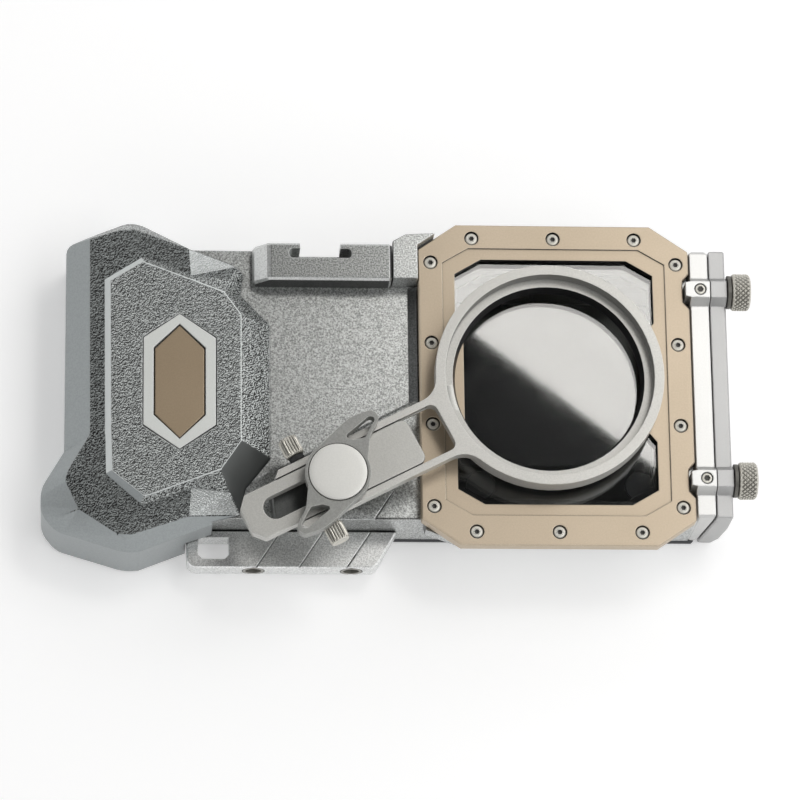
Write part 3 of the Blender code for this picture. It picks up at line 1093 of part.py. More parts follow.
def build_mount_block(metal, steel, pivot):
    """The fixed block under the arm and the threaded stud in it."""
    block = prism("arm_mount_block", BLOCK_OUTLINE, BLOCK_LOW_Z, BLOCK_TOP_Z, metal, parent=pivot)
    bevel(block, BLOCK_BEVEL)
    cut(block, prism("block_cut", circle(STUD_RADIUS + GAP, 16), BLOCK_LOW_Z - OVER, BLOCK_TOP_Z + OVER,
                     metal, parent=pivot))
    foot = BODY_BACK_Z - BACK_WALL / 2
    tip = KNOB_LOW_Z + KNOB_BORE_DEPTH - GAP
    profile = [(0.0, foot), (STUD_RADIUS, foot), (STUD_RADIUS, tip), (0.0, tip)]
    turned("pivot_stud", profile, steel, segments=16, parent=pivot)


def build_slot_bush(steel, pivot):
    """The flanged bush that turns on the stud and guides the bar's slot."""
    flange_low = BLOCK_TOP_Z + GAP
    flange_high = flange_low + BUSH_FLANGE_THICK
    bush = prism("slot_bush", circle(BUSH_FLANGE_RADIUS, 24), flange_low, flange_high, steel, parent=pivot)
    half_width = SLOT_HALF_WIDTH - GAP
    key = prism("bush_key", rectangle(-BUSH_HALF_LENGTH, BUSH_HALF_LENGTH, -half_width, half_width,
                                      half_width * KEY_ROUNDING),
                flange_high - GAP, ARM_TOP_Z - GAP, steel, parent=pivot)
    join(bush, key)
    cut(bush, prism("bush_bore_cut", circle(STUD_RADIUS + GAP / 2, 16), flange_low - OVER, ARM_TOP_Z + OVER,
                    steel, parent=pivot))


def build_guide_bar(metal, pivot):
    """The slotted bar that slides over the bush and carries the fork."""
    outline = rounded([(-BAR_TAIL, BAR_TAIL_CHAMFER_Y - BAR_HALF_WIDTH, 0.0),
                       (BAR_TAIL_CHAMFER_X - BAR_TAIL, -BAR_HALF_WIDTH, 0.0),
                       (BAR_NOSE, -BAR_HALF_WIDTH, BAR_NOSE_CORNER),
                       (BAR_NOSE, BAR_HALF_WIDTH, BAR_NOSE_CORNER),
                       (BAR_TAIL_CHAMFER_X - BAR_TAIL, BAR_HALF_WIDTH, 0.0),
                       (-BAR_TAIL, BAR_HALF_WIDTH - BAR_TAIL_CHAMFER_Y, 0.0)])
    bar = prism("guide_bar", outline, BAR_LOW_Z, ARM_TOP_Z, metal, parent=pivot)
    bevel(bar, FINE_EDGE)
    wide = BAR_HALF_WIDTH + BAR_TENON
    tenon = prism("bar_tenon", rectangle(-FORK_TAIL, BAR_NOSE - BAR_NOSE_CORNER - BAR_TENON, -wide, wide),
                  ARM_MID_Z - BAR_TENON_THICK / 2, ARM_MID_Z + BAR_TENON_THICK / 2, metal, parent=pivot)
    join(bar, tenon)
    slot = prism("bar_slot_cut", rectangle(-SLOT_END, SLOT_FRONT, -SLOT_HALF_WIDTH, SLOT_HALF_WIDTH,
                                           SLOT_HALF_WIDTH * SLOT_ROUNDING, 6),
                 BAR_LOW_Z - OVER, ARM_TOP_Z + OVER, metal, parent=pivot)
    cut(bar, slot)


def arm_plate_outline():
    """The fork's plate: a straight bar that flares into the ring with a fillet on each side."""
    reach = RING_OUTER + ARM_FILLET
    rise = RAIL_OUTER + ARM_FILLET
    centre_x = RING_DISTANCE - math.sqrt(reach ** 2 - rise ** 2)
    touch = math.atan2(rise, centre_x - RING_DISTANCE)
    upper = []
    steps = 6
    for k in range(steps + 1):
        angle = (touch - math.pi / 2) * k / steps - math.pi / 2
        upper.append((centre_x + ARM_FILLET * math.cos(angle), rise + ARM_FILLET * math.sin(angle)))
    inner = (RING_DISTANCE - RING_LIP - (RING_OUTER - RING_LIP) / 2, 0.0)
    lower = [(x, -y) for x, y in reversed(upper)]
    return [(-FORK_TAIL, RAIL_OUTER - FORK_CHAMFER), (-FORK_TAIL, FORK_CHAMFER - RAIL_OUTER),
            (FORK_CHAMFER - FORK_TAIL, -RAIL_OUTER), *reversed(lower), inner, *reversed(upper),
            (FORK_CHAMFER - FORK_TAIL, RAIL_OUTER)]


def build_filter_arm(metal, pivot):
    """The fork and filter ring in one piece."""
    arm = prism("filter_arm", arm_plate_outline(), BAR_LOW_Z, ARM_TOP_Z, metal, parent=pivot)
    cheeks = prism("fork_cheeks", rectangle(CLAMP_STATION - FORK_BLOCK_HALF,
                                            CLAMP_STATION + FORK_BLOCK_HALF, -RAIL_OUTER, RAIL_OUTER),
                   BAR_LOW_Z - FORK_BLOCK_DROP, ARM_MID_Z, metal, parent=pivot)
    ring_low = RING_LOW_Z
    profile = [(RING_BORE, ring_low), (RING_OUTER - RING_EDGE, ring_low), (RING_OUTER, ring_low + RING_EDGE),
               (RING_OUTER, ARM_TOP_Z), (RING_THREAD, ARM_TOP_Z), (RING_THREAD, ARM_TOP_Z - RING_DROP),
               (RING_LIP, ARM_TOP_Z - RING_DROP)]
    ring = turned("ring_blank", profile, metal, segments=64, parent=pivot)
    ring.location = (RING_DISTANCE, 0.0, 0.0)
    join(arm, cheeks, ring)
    window = prism("fork_window_cut", rounded([(-FORK_TAIL - OVER, -FORK_INNER, 0.0),
                                               (FORK_WINDOW_END, -FORK_INNER, FORK_WINDOW_CORNER),
                                               (FORK_WINDOW_END, FORK_INNER, FORK_WINDOW_CORNER),
                                               (-FORK_TAIL - OVER, FORK_INNER, 0.0)]),
                   BAR_LOW_Z - FORK_BLOCK_DROP - OVER, ARM_TOP_Z + OVER, metal, parent=pivot)
    groove = prism("fork_groove_cut", rectangle(-FORK_TAIL - OVER, FORK_WINDOW_END - FORK_WINDOW_CORNER,
                                                -BAR_HALF_WIDTH - BAR_TENON - GAP,
                                                BAR_HALF_WIDTH + BAR_TENON + GAP),
                   ARM_MID_Z - BAR_TENON_THICK / 2 - GAP, ARM_MID_Z + BAR_TENON_THICK / 2 + GAP, metal,
                   parent=pivot)
    hole_outline = circle(CLAMP_SHANK_RADIUS + HOLE_CLEARANCE, 16, (CLAMP_STATION, ARM_MID_Z))
    hole = prism("clamp_hole_cut", hole_outline, -RAIL_OUTER - OVER, RAIL_OUTER + OVER, metal, axis="Y",
                 parent=pivot)
    cut(arm, window, groove, hole)


def build_knob(grey, satin, rubber, pivot):
    """The wing knob, its round cap and the washer under it."""
    knob = prism("wing_knob", circle(KNOB_HUB_RADIUS, 40), KNOB_LOW_Z, KNOB_TOP_Z, grey, parent=pivot)
    turn = Matrix.Rotation(-ARM_ANGLE, 2)
    for i in range(2):
        lobe = [tuple(turn @ Vector(p)) for p in rounded(LOBE_OUTLINE, 6)]
        slot = [tuple(turn @ Vector(p)) for p in rounded(LOBE_SLOT, 3)]
        join(knob, prism(f"lobe_{i}", lobe, KNOB_LOW_Z, KNOB_TOP_Z, grey, parent=pivot))
        cut(knob, prism(f"lobe_slot_cut_{i}", slot, KNOB_LOW_Z - OVER, KNOB_TOP_Z + OVER, grey,
                        parent=pivot))
        turn = turn @ Matrix.Rotation(math.pi, 2)
    cap_low = KNOB_TOP_Z + KNOB_CAP_PROUD - KNOB_CAP_THICK
    seat = prism("cap_seat_cut", circle(KNOB_CAP_RADIUS + GAP, 40), cap_low - GAP, KNOB_TOP_Z + OVER, grey,
                 parent=pivot)
    bore = prism("knob_bore_cut", circle(STUD_RADIUS + GAP, 16), KNOB_LOW_Z - OVER,
                 KNOB_LOW_Z + KNOB_BORE_DEPTH, grey, parent=pivot)
    cut(knob, seat, bore)
    edge = FINE_EDGE
    cap = [(0.0, cap_low), (KNOB_CAP_RADIUS, cap_low), (KNOB_CAP_RADIUS, cap_low + KNOB_CAP_THICK - edge),
           (KNOB_CAP_RADIUS - edge, cap_low + KNOB_CAP_THICK), (0.0, cap_low + KNOB_CAP_THICK)]
    turned("knob_cap", cap, satin, segments=40, parent=pivot)
    low = ARM_TOP_Z + GAP
    ring = [(BUSH_RADIUS, low), (KNOB_WASHER_RADIUS, low), (KNOB_WASHER_RADIUS, low + KNOB_WASHER_THICK),
            (BUSH_RADIUS, low + KNOB_WASHER_THICK)]
    turned("knob_washer", ring, rubber, segments=24, parent=pivot)


def build_clamp_screw(name, side, steel, rubber, pivot):
    """A knurled clamp screw through one rail of the fork, with the washer under its head."""
    washer_low = RAIL_OUTER + GAP
    head_low = washer_low + CLAMP_WASHER_THICK + GAP
    head_high = head_low + CLAMP_HEAD_LENGTH
    tip = BAR_HALF_WIDTH + BAR_TENON + GAP
    edge = CLAMP_HEAD_BEVEL
    profile = [(0.0, tip), (CLAMP_SHANK_RADIUS, tip), (CLAMP_SHANK_RADIUS, head_low),
               (CLAMP_HEAD_RADIUS - edge, head_low), (CLAMP_HEAD_RADIUS, head_low + edge),
               (CLAMP_HEAD_RADIUS, head_high - edge), (CLAMP_HEAD_RADIUS - edge, head_high),
               (0.0, head_high)]
    inner = CLAMP_SHANK_RADIUS + GAP
    washer_high = washer_low + CLAMP_WASHER_THICK
    ring = [(inner, washer_low), (CLAMP_WASHER_RADIUS, washer_low), (CLAMP_WASHER_RADIUS, washer_high),
            (inner, washer_high)]
    screw = turned(f"clamp_screw_{name}", profile, steel, segments=20, axis="Y", parent=pivot)
    washer = turned(f"clamp_washer_{name}", ring, rubber, segments=16, axis="Y", parent=pivot)
    for piece in (screw, washer):
        piece.location = (CLAMP_STATION, 0.0, ARM_MID_Z)
        piece.rotation_euler = (0.0, 0.0, 0.0 if side > 0 else math.pi)


def build_arm(metal, satin, grey, steel, rubber):
    """Everything on the stud's axis."""
    pivot = bpy.data.objects.new("arm_pivot", None)
    pivot.location = (STUD_X, STUD_Y, 0.0)
    pivot.rotation_euler = (0.0, 0.0, ARM_ANGLE)
    bpy.context.collection.objects.link(pivot)
    build_mount_block(metal, steel, pivot)
    build_slot_bush(steel, pivot)
    build_guide_bar(metal, pivot)
    build_filter_arm(metal, pivot)
    build_knob(grey, satin, rubber, pivot)
    build_clamp_screw("upper", 1, steel, rubber, pivot)
    build_clamp_screw("lower", -1, steel, rubber, pivot)


def centre_on_base():
    """Move the assembly so that its origin is at the middle of its base."""
    grip_points = grip_rings()[0]
    left = min(x for x, _, _ in grip_points)
    high = max(y for _, y, _ in grip_points)
    shift = Vector((-(left + THUMB_END_X) / 2, -(PLATE_LOW_Y + high) / 2, 0.0))
    for obj in bpy.data.objects:
        if obj.parent is None:
            obj.location = obj.location + shift


def main():
    for obj in list(bpy.data.objects):
        bpy.data.objects.remove(obj, do_unlink=True)

    metal = material("bead_blasted_aluminium", (0.42, 0.43, 0.43), 0.5, 0.8)
    satin = material("satin_aluminium", (0.72, 0.72, 0.70), 0.35, 0.9)
    warm = material("warm_grey_aluminium", (0.50, 0.49, 0.46), 0.45, 0.8)
    grey = material("mid_grey_aluminium", (0.36, 0.36, 0.35), 0.5, 0.8)
    bronze = material("bronze_anodised", (0.45, 0.36, 0.26), 0.5, 0.6)
    steel = material("stainless_steel", (0.62, 0.58, 0.52), 0.3, 1.0)
    glass = material("rear_glass", (0.04, 0.045, 0.05), 0.05, 0.0)
    rubber = material("black_rubber", (0.02, 0.02, 0.02), 0.8, 0.0)
    plastic = material("black_plastic", (0.05, 0.055, 0.06), 0.5, 0.0)
    membrane = material("touch_film", (0.30, 0.32, 0.34), 0.2, 0.0)
    leather = material("grip_moulding", (0.12, 0.13, 0.13), 0.7, 0.0)

    build_body(metal)
    build_rear_window(bronze, glass, rubber)
    build_frame_screws(steel)
    build_front(plastic, membrane, rubber, steel)
    build_end_cap(satin, rubber)
    for name, side in (("upper", 1), ("lower", -1)):
        build_thumbscrew(name, side * BOSS_OFFSET_Y, steel, rubber)
        build_set_screw(name, side * BOSS_OFFSET_Y, steel)
    build_shoe_rail(metal)
    build_tripod_plate(metal, steel)
    build_grip(leather, steel)
    build_badge(satin, bronze)
    build_cradle(plastic, rubber)
    build_arm(warm, satin, grey, steel, rubber)
    centre_on_base()


main()
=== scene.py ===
import json
import math

import bmesh
import bpy
import numpy as np
from mathutils import Matrix, Vector


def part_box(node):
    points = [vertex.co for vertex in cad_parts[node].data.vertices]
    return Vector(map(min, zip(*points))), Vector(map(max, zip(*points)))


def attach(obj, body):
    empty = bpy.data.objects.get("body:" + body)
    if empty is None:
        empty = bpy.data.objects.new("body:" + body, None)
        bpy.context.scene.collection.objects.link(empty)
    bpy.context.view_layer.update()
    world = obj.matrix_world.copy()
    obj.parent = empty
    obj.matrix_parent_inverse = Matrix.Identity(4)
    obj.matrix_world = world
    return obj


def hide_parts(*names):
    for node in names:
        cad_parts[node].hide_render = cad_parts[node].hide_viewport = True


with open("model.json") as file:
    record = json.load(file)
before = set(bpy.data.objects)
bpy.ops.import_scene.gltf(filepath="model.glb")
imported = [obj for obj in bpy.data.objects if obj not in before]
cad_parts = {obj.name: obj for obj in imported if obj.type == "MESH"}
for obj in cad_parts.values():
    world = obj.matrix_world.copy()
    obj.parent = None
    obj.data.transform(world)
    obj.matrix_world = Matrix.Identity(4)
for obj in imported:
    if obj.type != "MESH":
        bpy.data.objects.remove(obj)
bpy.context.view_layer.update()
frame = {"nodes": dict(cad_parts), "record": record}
mm = 0.001
toPart = np.array([50.45, 0.35, 0.0])   # the window's centre, seen from the part's origin, in millimetres


# shader nodes

def fillInputs(tree, node, inputs):
    # an input takes a plain value or the output of another node
    for key, value in inputs.items():
        if isinstance(value, bpy.types.NodeSocket):
            tree.links.new(value, node.inputs[key])
        else:
            node.inputs[key].default_value = value
    return node


def addNode(tree, kind, inputs=None, **settings):
    node = tree.nodes.new(kind)
    for key, value in settings.items():
        setattr(node, key, value)
    return fillInputs(tree, node, inputs or {})


def remap(tree, value, low=0.0, high=1.0, first=0.0, last=1.0, **settings):
    # a value from low to high becomes one from first to last
    ends = {"Value": value, "From Min": low, "From Max": high, "To Min": first, "To Max": last}
    return addNode(tree, "ShaderNodeMapRange", ends, **settings).outputs[0]


def calculate(tree, operation, *values):
    return addNode(tree, "ShaderNodeMath", dict(enumerate(values)), operation=operation).outputs[0]


def calculateVector(tree, operation, *vectors):
    # the length and the dot product are values, the rest are vectors
    node = addNode(tree, "ShaderNodeVectorMath", dict(enumerate(vectors)), operation=operation)
    return node.outputs["Value" if operation in ("LENGTH", "DOT_PRODUCT") else "Vector"]


def noise(tree, vector, scale, detail, roughness=0.5, distortion=0.0):
    return addNode(tree, "ShaderNodeTexNoise", {
        "Vector": vector, "Scale": scale, "Detail": detail, "Roughness": roughness,
        "Distortion": distortion}).outputs["Fac"]


def bumped(tree, height, depth, normal):
    return addNode(tree, "ShaderNodeBump", {
        "Strength": 1.0, "Distance": depth, "Height": height, "Normal": normal}).outputs[0]


def mixValue(tree, share, first, second):
    return addNode(tree, "ShaderNodeMix", {0: share, 2: first, 3: second}).outputs[0]


def mixColor(tree, share, first, second, blend="MIX"):
    first, second = ((*side, 1.0) if isinstance(side, tuple) else side for side in (first, second))
    sides = {0: share, 6: first, 7: second}
    return addNode(tree, "ShaderNodeMix", sides, data_type="RGBA", blend_type=blend).outputs[2]


# camera, light and floor

stageLook = {
    "cameraPlace": (-0.10096, -0.42968, 1.37650),
    "cameraTurn": (-17.5, 4.1, -0.48),        # degrees about x, y and z, from straight above
    "lens": 199.33, "sensorWidth": 36.0, "clip": (0.05, 20.0),
    # two soft panels overhead: a small one that the rear glass mirrors, a broad one to the right
    "panels": {
        "glassPanel": {"corner": (0.0826, 0.3784), "along": (0.79, -0.613), "side": 1.0,
                       "size": (0.34, 0.20), "height": 1.03, "radiance": 5.4, "color": (1.0, 0.975, 0.94)},
        "sidePanel": {"corner": (0.245, -0.70), "along": (0.0, 1.0), "side": -1.0,
                      "size": (1.5, 0.75), "height": 1.05, "radiance": 2.0, "color": (1.0, 1.0, 1.0)},
    },
    # the room is bright low down and dark overhead
    "horizon": 1.05, "zenith": 0.04, "darkFrom": 0.45, "darkTo": 0.82,
    "floorReach": 6.0, "floorColor": (0.9, 0.9, 0.9, 1.0), "floorGlow": 0.30,
}


def addObject(name, data):
    thing = bpy.data.objects.new(name, data)
    bpy.context.scene.collection.objects.link(thing)
    return thing


def buildCamera(look):
    camera = bpy.data.cameras.new("camera")
    camera.lens, camera.sensor_width = look["lens"], look["sensorWidth"]
    camera.clip_start, camera.clip_end = look["clip"]
    turnX, turnY, turnZ = (math.radians(angle) for angle in look["cameraTurn"])
    turn = Matrix.Rotation(turnZ, 3, "Z") @ Matrix.Rotation(turnY, 3, "Y") @ Matrix.Rotation(turnX, 3, "X")
    holder = addObject("camera", camera)
    holder.matrix_world = Matrix.Translation(look["cameraPlace"]) @ turn.transposed().to_4x4()
    bpy.context.scene.camera = holder


def buildPanel(name, panel):
    # a lamp that faces down, given by one corner, the way its length runs and the side its width lies on
    along = Vector((*panel["along"], 0.0)).normalized()
    across = Vector((-along.y, along.x, 0.0)) * panel["side"]
    up = Vector((0.0, 0.0, 1.0))
    length, width = panel["size"]
    light = bpy.data.lights.new(name, "AREA")
    light.shape = "RECTANGLE"
    light.size, light.size_y = length, width
    light.color = panel["color"]
    light.energy = panel["radiance"] * math.pi * length * width
    middle = Vector((*panel["corner"], panel["height"])) + along * length / 2 + across * width / 2
    turn = Matrix((along, up.cross(along), up)).transposed().to_4x4()
    addObject(name, light).matrix_world = Matrix.Translation(middle) @ turn


def buildRoom(look):
    # white for the camera, and for the object bright at the sides and dark overhead
    world = bpy.data.worlds.new("studio")
    bpy.context.scene.world = world
    world.use_nodes = True
    tree = world.node_tree
    direction = addNode(tree, "ShaderNodeTexCoord").outputs["Generated"]
    height = addNode(tree, "ShaderNodeSeparateXYZ", {0: direction}).outputs["Z"]
    room = remap(tree, height, look["darkFrom"], look["darkTo"], look["horizon"], look["zenith"],
                 interpolation_type="SMOOTHSTEP")
    seen = addNode(tree, "ShaderNodeLightPath").outputs["Is Camera Ray"]
    fillInputs(tree, tree.nodes["Background"], {
        "Color": (1.0, 1.0, 1.0, 1.0), "Strength": mixValue(tree, seen, room, 1.0)})


def buildFloor(look):
    reach = look["floorReach"]
    sheet = bpy.data.meshes.new("floor")
    sheet.from_pydata([(-reach, -reach, 0), (reach, -reach, 0), (reach, reach, 0), (-reach, reach, 0)], [],
                      [(0, 1, 2, 3)])
    floor = addObject("floor", sheet)
    paper = bpy.data.materials.new("paleFloor")
    paper.use_nodes = True
    tree = paper.node_tree
    path = addNode(tree, "ShaderNodeLightPath").outputs
    seen = calculate(tree, "MAXIMUM", path["Is Camera Ray"], path["Is Glossy Ray"])
    glow = calculate(tree, "MULTIPLY", seen, look["floorGlow"])
    fillInputs(tree, tree.nodes["Principled BSDF"], {
        "Base Color": look["floorColor"], "Roughness": 0.9, "Specular IOR Level": 0.1,
        "Emission Color": (1.0, 1.0, 1.0, 1.0), "Emission Strength": glow})
    sheet.materials.append(paper)


bpy.context.scene.view_settings.view_transform = "Standard"
buildCamera(stageLook)
for name, panel in stageLook["panels"].items():
    buildPanel(name, panel)
buildRoom(stageLook)
buildFloor(stageLook)
print("stage ready")


# shader groups that several finishes share

def newGroup(name, inputs):
    # a number makes a value input, anything else a vector input
    group = bpy.data.node_groups.new(name, "ShaderNodeTree")
    for label, value in inputs.items():
        kind = "NodeSocketFloat" if isinstance(value, float) else "NodeSocketVector"
        socket = group.interface.new_socket(label, in_out="INPUT", socket_type=kind)
        if value is not None:
            socket.default_value = value
    return group, group.nodes.new("NodeGroupInput").outputs


def closeGroup(group, outputs):
    for label, value in outputs.items():
        kind = "NodeSocketVector" if value.type == "VECTOR" else "NodeSocketFloat"
        group.interface.new_socket(label, in_out="OUTPUT", socket_type=kind)
    fillInputs(group, group.nodes.new("NodeGroupOutput"), outputs)
    return group


# how far the bevelled normal leans, how the edge wear and painted highlight break up, how sheltered a crevice
# is
edgeLook = {"leaning": (0.985, 0.86), "breaks": (0.35, 0.6, 0.55), "shelter": (0.82, 0.42), "samples": 6}


def buildEdgeGroup(look):
    # the bevelled normal, a mask that is 1 where it leaves the flat one, and a mask of narrow crevices, used
    # for painted shade
    group, given = newGroup("softEdges", {
        "Radius": 0.0003, "Vector": None, "Breakup": 900.0, "Reach": 0.0009})
    count = look["samples"]
    bevel = addNode(group, "ShaderNodeBevel", {"Radius": given["Radius"]}, samples=count).outputs[0]
    flat = addNode(group, "ShaderNodeNewGeometry").outputs["Normal"]
    leaning = remap(group, calculateVector(group, "DOT_PRODUCT", bevel, flat), *look["leaning"])
    worn = remap(group, noise(group, given["Vector"], given["Breakup"], 2.0), *look["breaks"])
    shelter = addNode(group, "ShaderNodeAmbientOcclusion", {"Distance": given["Reach"]}, samples=count)
    return closeGroup(group, {"Normal": bevel, "Edge": calculate(group, "MULTIPLY", leaning, worn),
                              "Crevice": remap(group, shelter.outputs["AO"], *look["shelter"])})


def buildBlastGroup():
    # blasted grain as a height and as a salt-and-pepper mask, and a slow cloud for colour
    group, given = newGroup("blastedGrain", {"Vector": None, "Grain Scale": 1500.0, "Cloud Scale": 28.0})
    fine = noise(group, given["Vector"], given["Grain Scale"], 2.0, 0.7)
    cloud = noise(group, given["Vector"], given["Cloud Scale"], 4.0, 0.55)
    return closeGroup(group, {"Height": fine, "Cloud": remap(group, cloud, 0.3, 0.7),
                              "Fleck": remap(group, fine, 0.38, 0.62)})


def buildTurnedGroup():
    # tool lines round an upright axis: the sine of the distance from it, as a height from 0 to 1
    group, given = newGroup("turnedLines", {"Vector": None, "Middle": None, "Lines": 18000.0})
    away = calculateVector(group, "SUBTRACT", given["Vector"], given["Middle"])
    radius = calculateVector(group, "LENGTH", calculateVector(group, "MULTIPLY", away, (1.0, 1.0, 0.0)))
    wave = calculate(group, "SINE", calculate(group, "MULTIPLY", radius, given["Lines"]))
    return closeGroup(group, {"Height": remap(group, wave, -1.0, 1.0)})


leatherLook = {
    "turn": 48.0,                   # degrees
    "lumpScale": 0.56, "lumpShare": 0.45, "lump": (0.1, 0.75, 1.0, 0.0),
    "detail": 0.5, "distortion": 0.3, "wrinkle": (0.3, 0.7),
    "fall": (-0.075, 0.095), "low": (0.65, 0.39), "flankShare": 0.6, "sharpened": (0.32, 0.66),
}


def buildLeatherGroup(look):
    # short moulded wrinkles, stretched along one diagonal: noise mixed with the lumps of cells; the crease
    # mask is painted shade, high on the low ground and on the wrinkles' lower right flanks, as if lit from
    # the upper left
    group, given = newGroup("leatherGrain", {
        "Vector": None, "Scale": 900.0, "Stretch": (1.0, 0.8, 1.0), "Flank": (0.00016, -0.00016, 0.0)})
    lumpScale = calculate(group, "MULTIPLY", given["Scale"], look["lumpScale"])

    def heightAt(spot):
        turned = addNode(group, "ShaderNodeVectorRotate", {
            "Vector": spot, "Angle": math.radians(look["turn"])}, rotation_type="Z_AXIS").outputs[0]
        stretched = calculateVector(group, "MULTIPLY", turned, given["Stretch"])
        wrinkle = noise(group, stretched, given["Scale"], look["detail"], distortion=look["distortion"])
        cells = addNode(group, "ShaderNodeTexVoronoi", {"Vector": stretched, "Scale": lumpScale},
                        feature="F1")
        lump = remap(group, cells.outputs["Distance"], *look["lump"])
        return mixValue(group, look["lumpShare"], remap(group, wrinkle, *look["wrinkle"]), lump)

    here = heightAt(given["Vector"])
    beside = heightAt(calculateVector(group, "ADD", given["Vector"], given["Flank"]))
    # painted shade on the flanks that fall towards the lower right
    flank = remap(group, calculate(group, "SUBTRACT", here, beside), *look["fall"])
    embossShade = mixValue(group, look["flankShare"], remap(group, here, *look["low"]), flank)
    return closeGroup(group, {"Height": here, "EmbossShade": remap(group, embossShade, *look["sharpened"])})


softEdges = buildEdgeGroup(edgeLook)
blastedGrain = buildBlastGroup()
turnedLines = buildTurnedGroup()
leatherGrain = buildLeatherGroup(leatherLook)


def newFinish(name):
    # the material, its nodes, its shader and the piece's own coordinates
    finish = bpy.data.materials.new(name)
    finish.use_nodes = True
    tree = finish.node_tree
    coords = addNode(tree, "ShaderNodeTexCoord").outputs["Object"]
    return finish, tree, tree.nodes["Principled BSDF"], coords


def useGroup(tree, group, coords, inputs):
    return addNode(tree, "ShaderNodeGroup", {"Vector": coords, **inputs}, node_tree=group).outputs


def zoneParts(tree):
    # the three parts of the zone map that layZone gives a piece
    zone = addNode(tree, "ShaderNodeAttribute", attribute_name="zone").outputs["Vector"]
    split = addNode(tree, "ShaderNodeSeparateXYZ", {0: zone}).outputs
    return split["X"], split["Y"], split["Z"]


# metals, rubbers and plastics

# what a look doesn't say for itself, with lengths in metres
commonLook = {
    "metallic": 0.6, "grainScale": 2000.0, "grainDepth": 0.00001, "edgeRadius": 0.0004, "grainShare": 1.0,
    # the crevice share and its colour paint shade into crevices, the deep tone paints shade on chosen walls
    "grime": 0.75, "creviceShadeColor": (0.02, 0.02, 0.019), "deep": (0.012, 0.012, 0.012), "specular": 0.5,
}


def metalFinish(name, look):
    # base colour with a slow cloud, lighter edges that are partly wear and partly painted highlight, painted
    # shade in crevices, blasted grain, and turned lines where the look asks for them; the zone map's first
    # part is the share of the second surface, such as bright machined faces, and its second part the share of
    # the deep tone, painted shade as on walls inside the bay
    look = {**commonLook, **look}
    second = {**look, **look.get("second", {})}
    finish, tree, shader, coords = newFinish(name)
    edges = useGroup(tree, softEdges, coords, {"Radius": look["edgeRadius"]})
    grain = useGroup(tree, blastedGrain, coords, {"Grain Scale": look["grainScale"]})
    share, deep, _ = zoneParts(tree)
    tones, roughness = [], []
    for side in (look, second):
        tone = mixColor(tree, grain["Cloud"], side["shade"], side["color"])
        darker = mixColor(tree, 1.0, tone, (side["dark"],) * 3, "MULTIPLY")
        tones.append(mixColor(tree, grain["Fleck"], darker, tone))
        low, high = side["roughness"]
        roughness.append(remap(tree, grain["Height"], first=low, last=high))
    color = mixColor(tree, share, *tones)
    # lighter edges, partly wear and partly painted highlight
    color = mixColor(tree, edges["Edge"], color, look["worn"])
    # painted shade: crevices darken towards the crevice colour, less on the second surface
    creviceShadeShare = remap(tree, share, first=look["grime"], last=second["grime"])
    grime = calculate(tree, "MULTIPLY", edges["Crevice"], creviceShadeShare)
    color = mixColor(tree, grime, color, look["creviceShadeColor"])
    # the deep tone, near black: painted shade on the bay's, window's, rail's and frame's walls and in the
    # cove
    color = mixColor(tree, deep, color, look["deep"])
    calm = remap(tree, share, first=1.0, last=second["grainShare"])
    relief = calculate(tree, "MULTIPLY", grain["Height"], calm)
    normal = bumped(tree, relief, look["grainDepth"], edges["Normal"])
    if "lines" in look:
        lines = look["lines"]
        turned = useGroup(tree, turnedLines, coords, {
            "Middle": lines["middle"], "Lines": 2 * math.pi / lines["spacing"]})
        normal = bumped(tree, turned["Height"], lines["depth"], normal)
    if "coat" in look:
        # a clear gloss only where the zone map asks for it
        fillInputs(tree, shader, {"Coat Weight": share, "Coat Roughness": look["coat"]})
    fillInputs(tree, shader, {
        "Base Color": color, "Roughness": mixValue(tree, share, *roughness), "Metallic": look["metallic"],
        "Specular IOR Level": look["specular"], "Normal": normal})
    return finish


